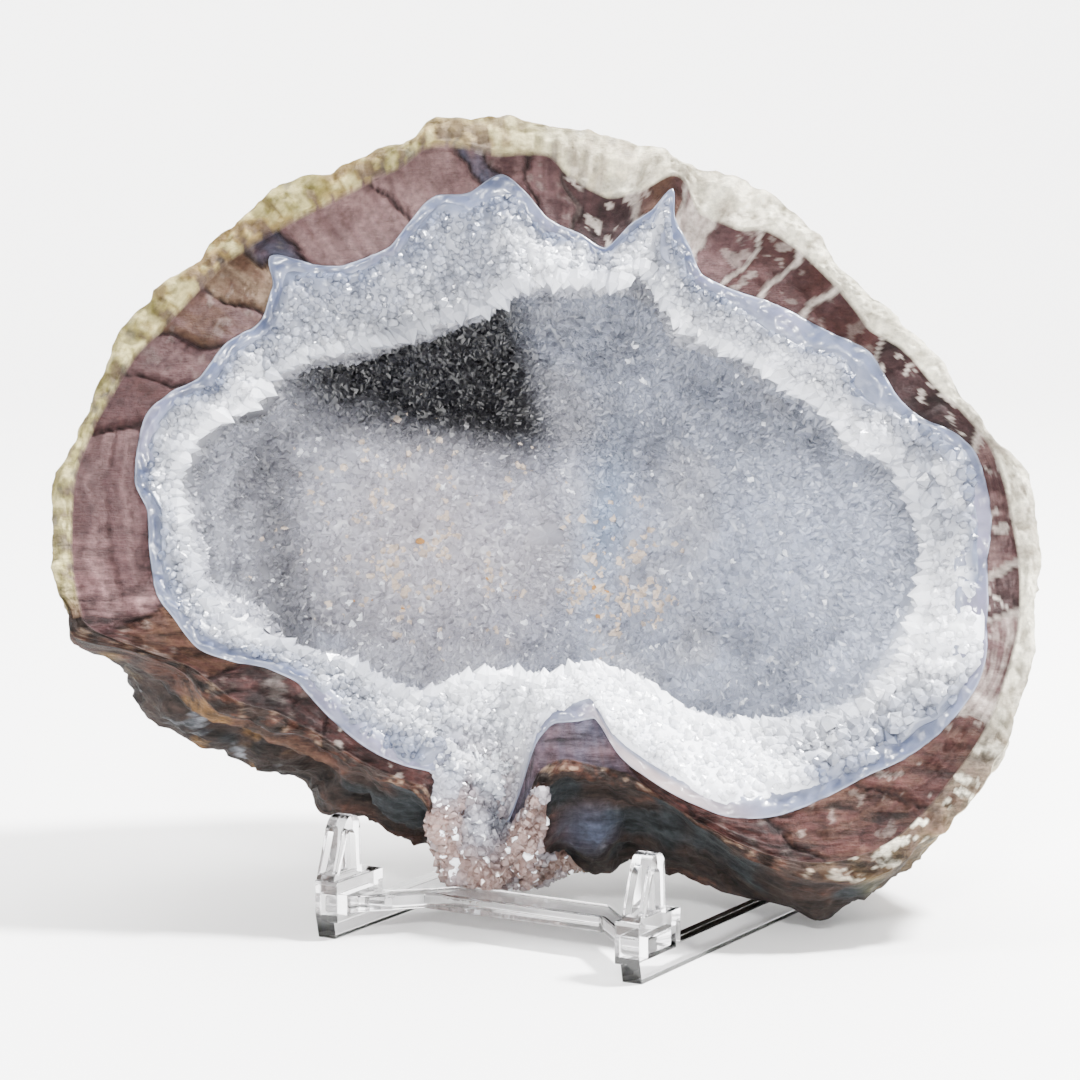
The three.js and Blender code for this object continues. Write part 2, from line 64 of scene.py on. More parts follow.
# Loops of the broken face as [angle, millimetres], the same as in the solids
loops = {
    "front": [
        [0, 74], [10, 70.5], [20, 66], [30, 62], [40, 60.5], [50, 61], [62, 62], [74, 61], [82, 61],
        [90, 62], [98, 63.5], [105, 66], [110, 64], [120, 64.5], [130, 67], [140, 68], [150, 70.5],
        [160, 73], [170, 74], [178, 76], [185, 75.5], [193, 76], [198, 67], [203, 61], [210, 58],
        [216, 53], [225, 49.5], [235, 47.5], [245, 46.5], [250, 50], [255, 54], [260, 54.5], [268, 41],
        [273, 39.5], [280, 41], [286, 43], [290, 46], [295, 53], [300, 61], [305, 67.5], [310, 72],
        [317, 75], [325, 76.5], [335, 76.5], [343, 76.5], [350, 75],
    ],
    "belly": [
        [0, 76], [10, 72.5], [20, 68.5], [30, 64.5], [45, 63], [60, 64], [75, 63.5], [90, 64.5],
        [105, 67], [120, 67], [140, 70.5], [160, 75.5], [178, 79], [190, 79.5], [197, 74], [203, 70.5],
        [210, 67.5], [217, 63], [225, 60], [235, 57], [245, 55], [255, 55.5], [265, 56], [275, 56],
        [282, 55.5], [289, 59], [295, 65], [301, 70], [308, 74], [316, 77.5], [325, 79], [335, 79.5],
        [345, 79], [353, 78],
    ],
    "rind": [
        [0, 70.5], [8, 69], [14, 66], [20, 62.5], [26, 60.5], [32, 57.5], [40, 57.5], [47, 57.5],
        [53, 57], [58, 54.5], [64, 54], [70, 58.3], [75, 54], [80, 52], [86, 54], [91, 58], [98, 58.5],
        [104, 61], [108, 62], [113, 60.5], [120, 60.5], [130, 62], [137, 63.8], [142, 65], [148, 65.8],
        [153, 67], [158, 69], [163, 70], [168, 71.5], [176, 73], [185, 73], [192, 72.5], [198, 64.5],
        [203, 58.5], [210, 55], [216, 50.5], [225, 47.5], [235, 46.3], [245, 45], [250, 49],
        [255, 53.2], [260, 53.2], [268, 38.5], [273, 37], [280, 38.5], [286, 40.5], [290, 44.5],
        [295, 51], [300, 58], [305, 64], [310, 68], [317, 71], [325, 72], [335, 73], [345, 73],
        [353, 72],
    ],
    "jasper": [
        [0, 67.5], [8, 66.5], [12, 64], [16, 59], [21, 56.5], [27, 56], [35, 52], [45, 48.5],
        [53, 46], [58, 45.5], [64, 49], [68, 52], [70, 56], [72, 52], [75, 48.5], [79, 44],
        [84, 45.5], [90, 47.5], [94, 52], [98, 55.5], [104, 53.5], [109, 54.5], [115, 52], [120, 50],
        [128, 51.5], [132, 55], [136, 60.5], [139, 57], [145, 55], [151, 57.5], [157, 58.5],
        [161, 62], [166, 64.5], [174, 64], [179, 61.5], [190, 61], [195, 59], [200, 57], [204, 53],
        [208, 48.5], [214, 45.5], [222, 45], [232, 44.5], [240, 43.5], [246, 42.5], [250, 46.5],
        [255, 51], [259, 50.5], [267, 34], [272, 31.5], [282, 31.5], [286, 38], [290, 42.5],
        [296, 49], [300, 53], [306, 56.5], [313, 59], [320, 61.5], [326, 65], [333, 68],
        [340, 69.5], [348, 68], [355, 67],
    ],
    "band": [
        [0, 5], [15, 3], [25, 5], [35, 5.5], [45, 4], [55, 2.5], [62, 3], [68, 6], [72, 6], [78, 3],
        [88, 3], [96, 6], [105, 4], [112, 3], [120, 2], [130, 2], [135, 5], [140, 2.5], [155, 3],
        [170, 3.5], [180, 2], [190, 2.6], [200, 4], [210, 3], [225, 3.6], [240, 2.6], [255, 2.4],
        [262, 4], [270, 3], [285, 3.5], [300, 4], [320, 4], [340, 5],
    ],
    "lip": [
        [0, 58], [6, 56], [11, 54], [15, 48.5], [20, 47.5], [26, 45.5], [31, 43], [38, 41.5],
        [46, 39.5], [56, 38], [62, 39.5], [67, 42], [70, 43.5], [73, 39], [80, 38], [90, 37.5],
        [99, 37], [105, 35.5], [112, 36.5], [120, 37.5], [130, 39], [138, 42], [144, 46],
        [150, 48.5], [158, 50], [162, 54], [166, 56.5], [172, 58], [177, 57.5], [184, 56],
        [192, 54.5], [199, 51], [205, 45.5], [210, 41.5], [216, 38], [225, 36], [234, 33.5],
        [240, 28], [248, 25], [256, 23.5], [266, 24], [280, 22.5], [290, 23.5], [296, 26],
        [301, 28.5], [305, 35], [310, 40], [315, 44], [322, 50], [331, 56], [340, 58], [350, 58.5],
    ],
    "hollow": [
        [0, 57], [10, 55], [20, 52], [40, 48], [55, 45.5], [70, 45], [90, 45], [110, 45], [130, 48],
        [150, 55], [165, 61], [180, 63.5], [195, 61], [210, 51], [225, 44], [240, 38], [255, 34],
        [270, 33], [285, 34], [300, 40], [315, 49], [330, 55], [345, 57],
    ],
    "faceHeight": [
        [0, 0], [30, 1], [60, -0.5], [90, 0.5], [105, 1.5], [135, 0], [165, 0.5], [190, 0],
        [205, -0.5], [225, 0], [244, 0.5], [250, -5], [255, -11], [262, -11], [267, 2], [275, 3],
        [284, 3], [292, 5], [300, 7], [310, 5], [325, 2], [345, 0.5],
    ],
    "lipHeight": [
        [0, -6], [15, -3], [40, -3.5], [68, -5], [74, 1], [88, 2], [100, 0.5], [108, -4],
        [130, -6], [145, -4], [165, -3], [190, -3.5], [205, -4], [225, -5], [240, -7], [256, -10],
        [280, -11], [300, -10], [312, -8], [330, -6], [345, -5],
    ],
    "ledge": [
        [0, 0.6], [30, 1], [60, 0.8], [90, 1.2], [100, 2.4], [130, 2.2], [165, 2], [190, 0.8],
        [220, 0.5], [260, 0.4], [290, 0.5], [308, 1.4], [335, 0.8],
    ],
}
wallRoom = {"rock": (8, 56.5), "band": (4.6, 53.5), "crystals": (0, 49)}   # extra width, floor depth


def closedCurve(pairs):   # smooth closed curve through [angle, value] pairs, never past a pair
    angles = np.array([p[0] for p in pairs], float)
    values = np.array([p[1] for p in pairs], float)
    spans = (np.roll(angles, -1) - angles) % 360
    slopes = (np.roll(values, -1) - values) / spans
    before = np.roll(slopes, 1)
    together = before * slopes > 0
    total = np.where(together, before + slopes, 1)
    tangents = np.where(together, 2 * before * slopes / total, 0)

    def at(angle):
        turn = np.asarray(angle, float) % 360
        i = np.searchsorted(angles, turn, side="right") - 1
        n = (i + 1) % len(angles)
        t = (turn - angles[i]) / spans[i]
        blend = t * t * (3 - 2 * t)
        leave = t * (1 - t) ** 2 * spans[i] * tangents[i]
        arrive = t * t * (t - 1) * spans[i] * tangents[n]
        return values[i] * (1 - blend) + values[n] * blend + leave + arrive
    return at


curve = {name: closedCurve(pairs) for name, pairs in loops.items()}


def hashOf(x, y, z, seed):   # a repeatable number from 0 to 1 for each whole-number place
    with np.errstate(over="ignore"):
        n = (x.astype(np.int64) * 73856093) ^ (y.astype(np.int64) * 19349663)
        n = n ^ (z.astype(np.int64) * 83492791) ^ np.int64(seed * 2654435)
        n = (n ^ (n >> 13)) * np.int64(1274126177)
        n = n ^ (n >> 16)
    return (n & 0xFFFFFF) / float(0xFFFFFF)


def valueNoise(p, size, seed):   # smooth noise from -1 to 1, with lumps of about this size
    q = p / size
    low = np.floor(q)
    f = q - low
    f = f * f * (3 - 2 * f)
    total = np.zeros(len(p))
    for corner in range(8):
        step = np.array([corner & 1, (corner >> 1) & 1, (corner >> 2) & 1])
        weight = np.prod(np.where(step == 1, f, 1 - f), axis=1)
        cell = low + step
        total += weight * hashOf(cell[:, 0], cell[:, 1], cell[:, 2], seed)
    return total * 2 - 1


def roughNoise(p, size, seed, octaves=4, fade=0.5):   # the same with finer noises over it
    total = np.zeros(len(p))
    strength = 1.0
    for i in range(octaves):
        total += strength * valueNoise(p, size / 2 ** i, seed + i)
        strength *= fade
    return total


def cellNoise(p, size, seed):   # distances to the two nearest spots, and the nearest one's number
    q = p / size
    low = np.floor(q)
    first = np.full(len(p), 9.0)
    second = np.full(len(p), 9.0)
    own = np.zeros(len(p))
    for dx in (-1, 0, 1):
        for dy in (-1, 0, 1):
            for dz in (-1, 0, 1):
                cell = low + np.array([dx, dy, dz])
                spot = np.stack([cell[:, k] + hashOf(cell[:, 0], cell[:, 1], cell[:, 2], seed + k)
                                 for k in range(3)], axis=1)
                far = np.linalg.norm(spot - q, axis=1)
                mark = hashOf(cell[:, 0], cell[:, 1], cell[:, 2], seed + 7)
                nearer = far < first
                second = np.where(nearer, first, np.minimum(second, far))
                own = np.where(nearer, mark, own)
                first = np.where(nearer, far, first)
    return first, second, own


def smooth(value, low, high):   # 0 up to low, 1 from high, and an easy curve between
    t = np.clip((value - low) / (high - low), 0, 1)
    return t * t * (3 - 2 * t)


def rounded(p, size, seed):   # domes that fill the space: 1 at each top and 0 between them
    return 1 - np.minimum(cellNoise(p, size, seed)[0], 1) ** 2


def near(value, middle, width):   # 1 at the middle, fading to nothing over about twice the width
    return np.exp(-((value - middle) / width) ** 2)


def blend(a, b, share):   # from colour a to colour b, by a share for each point
    t = np.asarray(share)[:, None]
    return a * (1 - t) + b * t


def stretched(*parts):   # points for a noise that is stretched along the rim
    return np.stack(np.broadcast_arrays(*parts), axis=1)


def colour(red, green, blue):   # from 0 to 255 as seen on a screen, to the linear values that a shader takes
    c = np.array([red, green, blue]) / 255
    return np.where(c <= 0.04045, c / 12.92, ((c + 0.055) / 1.055) ** 2.4)


def polar(angle, radius, height, rise=0.0):   # points of the stone's frame
    turn = np.radians(angle)
    return np.stack([radius * np.cos(turn), radius * np.sin(turn) + rise,
                     height + 0 * angle], axis=-1)


def swell(p, at, size, height):   # a round swelling about a place
    far = (((p - np.array(at)) / np.array(size)) ** 2).sum(axis=-1)
    return height * np.exp(-far)


def away(p):   # directions out from the stone's heart
    way = p - np.array(stone["heart"])
    return way / np.linalg.norm(way, axis=-1, keepdims=True)


# The easel's crossbar gives the place of the source's origin in the row frame
easel = {
    "turnDegrees": -30.5,
    "place": (-9.9, -27.2),
    "railSpacing": 52.4,
    "railWidth": 3.2,
    "strapInset": 2.4,
    "strapDepth": 7.4,
    "strapBend": 8.4,
    "strapFront": 3.1,
    "strapCut": 0.41,   # share of its depth by which the bend's back edge is cut
    "gap": 0.3,
}


def strapOutline():
    e = easel
    reach = e["railSpacing"] / 2 + e["railWidth"] / 2 - e["gap"]
    outer = e["railSpacing"] / 2 - e["strapInset"]
    inner = outer - e["strapBend"]
    cut = e["strapDepth"] * e["strapCut"]
    front, back = e["strapFront"], e["strapFront"] + e["strapDepth"]
    mid = e["strapBend"]
    return [
        (reach, front), (outer, front), (inner, front + mid), (-inner, front + mid),
        (-outer, front), (-reach, front), (-reach, back), (-outer + cut, back),
        (-inner + cut, back + mid), (inner - cut, back + mid), (outer - cut, back), (reach, back),
    ]


def easelToSource(x, y):
    turn = math.radians(easel["turnDegrees"])
    return (easel["place"][0] + x * math.cos(turn) - y * math.sin(turn),
            easel["place"][1] + x * math.sin(turn) + y * math.cos(turn))


strapCorners = [easelToSource(x, y) for x, y in strapOutline()]
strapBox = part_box("stand_crossbar")
shift = (strapBox[0][0] / mm - min(c[0] for c in strapCorners),
         strapBox[0][1] / mm - min(c[1] for c in strapCorners), 0.0)
print("stage: source origin at", [round(s, 3) for s in shift])


def seat(p):   # stone frame to row frame, in millimetres, kept just clear of the rails under it
    lean = math.radians(90 - stone["leanDegrees"])
    c, s = math.cos(lean), math.sin(lean)
    x, y, z = p[:, 0], p[:, 1] * c - p[:, 2] * s, p[:, 1] * s + p[:, 2] * c
    place = stone["centreInSource"]
    out = np.stack([x + place[0] + shift[0], y + place[1] + shift[1], z + place[2]], axis=1)
    turn = math.radians(-easel["turnDegrees"])
    dx, dy = x + place[0] - easel["place"][0], y + place[1] - easel["place"][1]
    past = dx * math.cos(turn) - dy * math.sin(turn) - easel["railSpacing"] / 2
    hang = stone["hang"]
    lowest = stone["restHeight"] - hang["depth"] * smooth(past, hang["start"], hang["full"])
    over = (out[:, 2] - lowest) / stone["restSoftness"]
    soft = lowest + stone["restSoftness"] * np.log1p(np.exp(np.minimum(over, 40)))
    out[:, 2] = np.where(over < 12, soft, out[:, 2])
    return out


def makeMesh(name, points, faces, tint=None, smoothFaces=True):
    mesh = bpy.data.meshes.new(name)
    corners = faces.shape[1]
    mesh.vertices.add(len(points))
    mesh.vertices.foreach_set("co", (points * mm).astype(np.float32).ravel())
    mesh.loops.add(faces.size)
    mesh.loops.foreach_set("vertex_index", faces.astype(np.int32).ravel())
    mesh.polygons.add(len(faces))
    mesh.polygons.foreach_set("loop_start", np.arange(0, faces.size, corners, dtype=np.int32))
    mesh.polygons.foreach_set("use_smooth", np.full(len(faces), smoothFaces))
    mesh.update(calc_edges=True)
    mesh.validate()
    if tint is not None:
        layer = mesh.color_attributes.new("tint", "FLOAT_COLOR", "POINT")
        rgba = np.concatenate([tint, np.ones((len(tint), 1))], axis=1)
        layer.data.foreach_set("color", rgba.astype(np.float32).ravel())
    thing = bpy.data.objects.new(name, mesh)
    bpy.context.scene.collection.objects.link(thing)
    return thing


def gridFaces(rows, columns):   # quads of rows that each close on themselves
    r, c = np.meshgrid(np.arange(rows - 1), np.arange(columns), indexing="ij")
    n = (c + 1) % columns
    quads = np.stack([r * columns + c, (r + 1) * columns + c,
                      (r + 1) * columns + n, r * columns + n], axis=-1)
    return quads.reshape(-1, 4)


def sealedRows(name, rowPoints, rowTints):   # rows that close on themselves, with a fan of faces at each end
    n = len(rowPoints[0])
    last = (len(rowPoints) - 1) * n
    p = seat(np.concatenate(rowPoints))
    tint = np.concatenate(rowTints)
    p = np.concatenate([p, [p[:n].mean(axis=0)], [p[-n:].mean(axis=0)]])
    tint = np.concatenate([tint, tint[:1], tint[-1:]])
    ring = np.arange(n)
    nextRing = (ring + 1) % n
    start = np.stack([np.full(n, last + n), ring, nextRing], axis=1)
    finish = np.stack([np.full(n, last + n + 1), last + nextRing, last + ring], axis=1)
    quads = gridFaces(len(rowPoints), n)
    return makeMesh(name, p, np.concatenate([quads[:, [0, 1, 2]], quads[:, [0, 2, 3]], start, finish]), tint)


def place(thing, node, slotName, material):
    thing.data.materials.clear()
    thing.data.materials.append(material)
    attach(thing, "root")
    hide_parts(node)


# Materials
def newMaterial(name, **values):   # a Principled shader with its even values set on its own sockets
    material = bpy.data.materials.new(name)
    material.use_nodes = True
    tree = material.node_tree
    tree.nodes.clear()
    out = tree.nodes.new("ShaderNodeOutputMaterial")
    shader = addNode(tree, "ShaderNodeBsdfPrincipled", **values)
    tree.links.new(shader.outputs["BSDF"], out.inputs["Surface"])
    return material, tree, shader


def sources(tree):   # object coordinates, and the colour painted on the mesh
    return (addNode(tree, "ShaderNodeTexCoord").outputs["Object"],
            addNode(tree, "ShaderNodeAttribute", attribute_name="tint").outputs["Color"])


def addNode(tree, kind, **values):
    node = tree.nodes.new(kind)
    for key, value in values.items():
        if hasattr(node, key):
            setattr(node, key, value)
        else:
            node.inputs[key.replace("_", " ")].default_value = value
    return node


def noiseNode(tree, coords, scale, detail=6.0, rough=0.6):
    node = addNode(tree, "ShaderNodeTexNoise", Scale=scale, Detail=detail, Roughness=rough)
    tree.links.new(coords, node.inputs["Vector"])
    return node


def tinted(tree, source, amounts, low, high, spread=0.25):   # a colour times a noise, from low to high
    ramp = addNode(tree, "ShaderNodeMapRange", From_Min=0.5 - spread, From_Max=0.5 + spread,
                   To_Min=low, To_Max=high)
    tree.links.new(amounts, ramp.inputs["Value"])
    mix = addNode(tree, "ShaderNodeMix", data_type="RGBA", blend_type="MULTIPLY")
    mix.inputs["Factor"].default_value = 1
    tree.links.new(source, mix.inputs[6])
    tree.links.new(ramp.outputs["Result"], mix.inputs[7])
    return mix.outputs[2]


def bumpNode(tree, shader, height, strength, distance):
    bump = addNode(tree, "ShaderNodeBump", Strength=strength, Distance=distance)
    tree.links.new(height, bump.inputs["Height"])
    tree.links.new(bump.outputs["Normal"], shader.inputs["Normal"])


def uneven(tree, shader, amounts, low, high):   # roughness that follows a noise
    spread = addNode(tree, "ShaderNodeMapRange", To_Min=low, To_Max=high)
    tree.links.new(amounts, spread.inputs["Value"])
    tree.links.new(spread.outputs["Result"], shader.inputs["Roughness"])


def rockMaterial():
    material, tree, shader = newMaterial("jasperAndRind", Specular_IOR_Level=0.16)
    coords, tint = sources(tree)
    grains = noiseNode(tree, coords, 900, 4)
    mottle = noiseNode(tree, coords, 160, 6)
    first = tinted(tree, tint, mottle.outputs["Fac"], 0.72, 1.28)
    second = tinted(tree, first, grains.outputs["Fac"], 0.7, 1.34, 0.18)
    beds = addNode(tree, "ShaderNodeMapping", Scale=(70, 420, 520),
                   Rotation=(0, math.radians(-24), 0))
    tree.links.new(coords, beds.inputs["Vector"])
    layers = noiseNode(tree, beds.outputs["Vector"], 1.0, 7, 0.7)
    streaked = tinted(tree, second, layers.outputs["Fac"], 0.25, 2.1, 0.13)
    under = addNode(tree, "ShaderNodeAttribute", attribute_name="under").outputs["Fac"]
    choose = addNode(tree, "ShaderNodeMix", data_type="RGBA")
    tree.links.new(under, choose.inputs["Factor"])
    tree.links.new(second, choose.inputs[6])
    tree.links.new(streaked, choose.inputs[7])
    tree.links.new(choose.outputs[2], shader.inputs["Base Color"])
    uneven(tree, shader, mottle.outputs["Fac"], 0.5, 0.9)
    relief = addNode(tree, "ShaderNodeMath", operation="ADD")
    tree.links.new(noiseNode(tree, coords, 380, 9, 0.75).outputs["Fac"], relief.inputs[0])
    tree.links.new(layers.outputs["Fac"], relief.inputs[1])
    bumpNode(tree, shader, relief.outputs[0], 1.0, 0.0016)
    return material


def bandMaterial():
    material, tree, shader = newMaterial(
        "chalcedony", Roughness=0.28, IOR=1.54, Subsurface_Weight=0.25,
        Subsurface_Radius=(0.002, 0.002, 0.0026), Coat_Weight=0.3)
    coords, tint = sources(tree)
    cloud = noiseNode(tree, coords, 220, 5)
    tree.links.new(tinted(tree, tint, cloud.outputs["Fac"], 0.85, 1.15), shader.inputs["Base Color"])
    bumpNode(tree, shader, noiseNode(tree, coords, 500, 6).outputs["Fac"], 0.35, 0.0004)
    return material


def quartzMaterial(name, rough, bumpScale):
    material, tree, shader = newMaterial(
        name, Roughness=rough, IOR=1.54, Subsurface_Weight=0.12,
        Subsurface_Radius=(0.0012, 0.0012, 0.0014))
    coords, tint = sources(tree)
    cloud = noiseNode(tree, coords, 300, 4)
    tree.links.new(tinted(tree, tint, cloud.outputs["Fac"], 0.86, 1.14), shader.inputs["Base Color"])
    bumpNode(tree, shader, noiseNode(tree, coords, bumpScale, 3).outputs["Fac"], 0.3, 0.0003)
    return material


def clearMaterial():
    material, tree, shader = newMaterial(
        "clearPlastic", Base_Color=(0.97, 0.965, 0.98, 1), Transmission_Weight=1, IOR=1.49)
    coords = addNode(tree, "ShaderNodeTexCoord").outputs["Object"]
    uneven(tree, shader, noiseNode(tree, coords, 60, 3).outputs["Fac"], 0.02, 0.09)
    bumpNode(tree, shader, noiseNode(tree, coords, 90, 2).outputs["Fac"], 0.05, 0.0004)
    return material


finishes = {
    "rock": rockMaterial(),
    "band": bandMaterial(),
    "hollow": quartzMaterial("hollowQuartz", 0.32, 1500),
    "lip": quartzMaterial("lipQuartz", 0.22, 1200),
    "clear": clearMaterial(),
}
print("stage: materials")


# Rock
rock = {
    "columns": 720,
    "skinRows": 76,
    "rindRows": 18,
    "jasperRows": 34,
    "wallRows": 5,
    "waves": [((0.12, 0.07, 0.05), 0.9, 0.4), ((-0.08, 0.15, 0.09), 0.8, 2.1),
              ((0.05, -0.11, 0.21), 0.7, 4.4), ((0.31, 0.12, -0.16), 0.45, 1.3),
              ((-0.22, 0.34, 0.13), 0.4, 5.2)],
    "ridgeHeight": 1.1,
    "ridgesRound": 30,
    "underside": (195, 312),
    "knob": {"at": (6, -49, -5), "size": (6.5, 6.5, 6.5), "height": 4.5},
    "chin": {"at": (34, -60, -5), "size": (12, 12, 12), "height": 4.5},
    "edgeRoughness": 1.0,
    "tip": 0.985,   # the rows stop just short of the middle of the back, which a fan of faces closes
    "rowsTowardsEdge": 1.35,
    "lump": {"size": 7, "height": 0.6},
    "crease": {"size": 8, "height": 1.3},
    "skinChip": {"size": 6.5, "height": 1.4},
    "bedHeight": (0.2, 1.2),   # all over, and what the underside has more
    "rindBump": 0.85,
    "rindStreak": 0.45,
    "plateStep": 0.9,
    "crackDepth": 0.9,
    "chipSize": 5.5,
    "chipStep": 0.8,
}
rockTones = {
    "ochre": colour(120, 96, 43),
    "olive": colour(114, 104, 38),
    "cream": colour(229, 223, 202),
    "straw": colour(175, 163, 106),
    "mauve": colour(89, 67, 67),
    "rose": colour(107, 84, 83),
    "pink": colour(131, 104, 101),
    "plum": colour(63, 43, 44),
    "wine": colour(56, 33, 31),
    "rust": colour(63, 44, 37),
    "tan": colour(118, 99, 82),
    "brown": colour(70, 50, 39),
    "black": colour(35, 28, 28),
    "slate": colour(52, 58, 73),
    "chalk": colour(194, 183, 174),
    "underside": colour(34, 26, 23),
    "undersideRed": colour(56, 35, 28),
    "undersideGreen": colour(28, 31, 33),
    "paintedGlint": colour(119, 123, 130),
    "amber": colour(90, 65, 35),
    "back": colour(111, 94, 77),
}
# Plates of the broken rock, by the angle where each ends: its two tones, then how strong
# its rays, its flow lines, its pale specks and its roughness are
plates = [
    [11, "pink", "plum", 0.3, 0.2, 0.5, 0.8], [27, "black", "plum", 0.2, 0.1, 0.8, 1.0],
    [39, "plum", "wine", 0.35, 0.2, 0.1, 0.7], [47, "wine", "plum", 0.3, 0.2, 0.15, 0.7],
    [54, "plum", "wine", 0.3, 0.1, 0.25, 0.7], [63, "mauve", "plum", 0.3, 0.1, 0.2, 0.5],
    [68, "chalk", "mauve", 0.4, 0.1, 0.1, 0.8], [76, "brown", "plum", 0.2, 0.1, 0.3, 0.8],
    [86, "black", "plum", 0.3, 0.1, 0.6, 1.0], [93, "plum", "mauve", 0.9, 0.1, 0.1, 0.6],
    [99, "plum", "mauve", 0.9, 0.1, 0.05, 0.5], [103, "slate", "mauve", 0.3, 0.1, 0.2, 0.7],
    [116, "mauve", "rose", 0.9, 0.1, 0.0, 0.35], [133, "rose", "mauve", 0.9, 0.1, 0.0, 0.3],
    [137, "slate", "plum", 0.3, 0.1, 0.1, 0.6], [144, "tan", "brown", 0.5, 0.3, 0.1, 0.7],
    [152, "brown", "mauve", 0.6, 0.2, 0.1, 0.6], [160, "plum", "mauve", 0.5, 0.2, 0.05, 0.5],
    [168, "plum", "wine", 0.3, 0.2, 0.0, 0.4], [194, "mauve", "plum", 0.05, 1.0, 0.0, 0.35],
    [205, "brown", "wine", 0.2, 0.5, 0.1, 0.9], [222, "wine", "black", 0.3, 0.4, 0.05, 0.9],
    [246, "wine", "black", 0.3, 0.4, 0.3, 1.0], [261, "black", "brown", 0.3, 0.3, 0.2, 1.0],
    [287, "plum", "slate", 0.1, 0.05, 0.0, 0.2], [296, "wine", "black", 0.3, 0.8, 0.0, 0.9],
    [306, "wine", "black", 0.5, 0.9, 0.05, 0.9], [320, "rust", "wine", 0.5, 0.9, 0.12, 1.0],
    [334, "wine", "rust", 0.7, 0.6, 0.2, 1.0], [347, "mauve", "chalk", 0.3, 0.3, 0.5, 0.8],
    [354, "black", "mauve", 0.2, 0.2, 0.8, 1.0], [360, "pink", "plum", 0.3, 0.2, 0.6, 0.8],
]
# How pale the outside is round the stone: partly its own cream colour, partly painted light on the sunlit top
# right and right-hand end
paleAndSunlitRound = closedCurve([
    [0, 1], [30, 1], [55, 0.95], [68, 0.75], [78, 0.6], [88, 0.4], [95, 0.15], [130, 0.05],
    [165, 0.08], [185, 0.12], [200, 0], [300, 0], [315, 0.08], [326, 0.4], [336, 0.8], [347, 1]])


def undersideShare(angle):
    low, high = rock["underside"]
    share = (angle - low) / (high - low)
    return np.where((share > 0) & (share < 1), np.sin(np.pi * np.clip(share, 0, 1)), 0)


def bedding(angle, share):   # thin beds of the rock, along the rim
    return roughNoise(stretched(angle * 0.06, share * 34, 0), 1.6, 31, 4)


def skinPoint(angle, share):   # share is 0 at the broken face and 1 at the middle of the back
    turn = np.radians(share * 90)
    full = np.maximum(np.cos(turn), 0) ** stone["roundness"]
    out = smooth(share, 0, stone["bellyShare"])
    edge = curve["front"](angle)
    radius = (edge + (curve["belly"](angle) - edge) * out) * full
    height = curve["faceHeight"](angle) * (1 - np.sin(turn)) - stone["depth"] * np.sin(turn)
    p = polar(angle, radius, height, stone["axisRise"] * np.sin(turn) ** 2)
    grown = sum(h * np.sin(p @ np.array(way) + start) for way, h, start in rock["waves"])
    grown = grown + rock["ridgeHeight"] * undersideShare(angle) * np.sin(
        np.radians(angle * rock["ridgesRound"]))
    for form in (rock["knob"], rock["chin"]):
        grown = grown + swell(p, form["at"], form["size"], form["height"])
    lump, crease, chip = rock["lump"], rock["crease"], rock["skinChip"]
    fine = roughNoise(p, lump["size"], 11, 4) * lump["height"]
    fine = fine - crease["height"] * np.abs(roughNoise(p, crease["size"], 15, 5, 0.6))
    first, second, mark = cellNoise(p, chip["size"], 17)
    flake = (mark - 0.5) * chip["height"] * smooth(second - first, 0, 0.12)
    fine = fine + flake * smooth(share, 0.02, 0.12)
    bed, bedBelow = rock["bedHeight"]
    fine = fine + bedding(angle, share) * (bed + bedBelow * undersideShare(angle)) * smooth(share, 0, 0.05)
    p = p + away(p) * (grown * np.minimum(1, share * 8))[:, None]
    p = p + away(p) * (fine * (0.25 + 0.75 * smooth(share, 0, 0.05)))[:, None]
    fade = 1 - smooth(share, 0, 0.12)
    return p + edgeShake(angle) * fade[:, None]


def edgeShake(angle):   # lumps along the front edge, in the plane of the face
    turn = np.radians(angle)
    ring = np.stack([np.cos(turn), np.sin(turn), 0 * turn], axis=1)
    lump = roughNoise(ring * 62, 6, 51, 4) * rock["edgeRoughness"]
    return ring * lump[:, None]


def jasperHeight(angle):
    return curve["faceHeight"](angle) - curve["ledge"](angle)


def wallPoint(angle, share, radius, height, room):
    extra, floor = wallRoom[room]
    turn = np.radians(share * 90)
    out = smooth(share, 0, stone["bellyShare"])
    wide = curve["hollow"](angle) + extra
    r = (radius + (wide - radius) * out) * np.maximum(np.cos(turn), 0) ** stone["roundness"]
    z = height * (1 - np.sin(turn)) - floor * np.sin(turn)
    return polar(angle, r, z, (stone["axisRise"] - 2) * np.sin(turn) ** 2)


def darkShare(angle):   # where the stone shows its dark underside
    return smooth(angle, 189, 196) * (1 - smooth(angle, 311, 326))


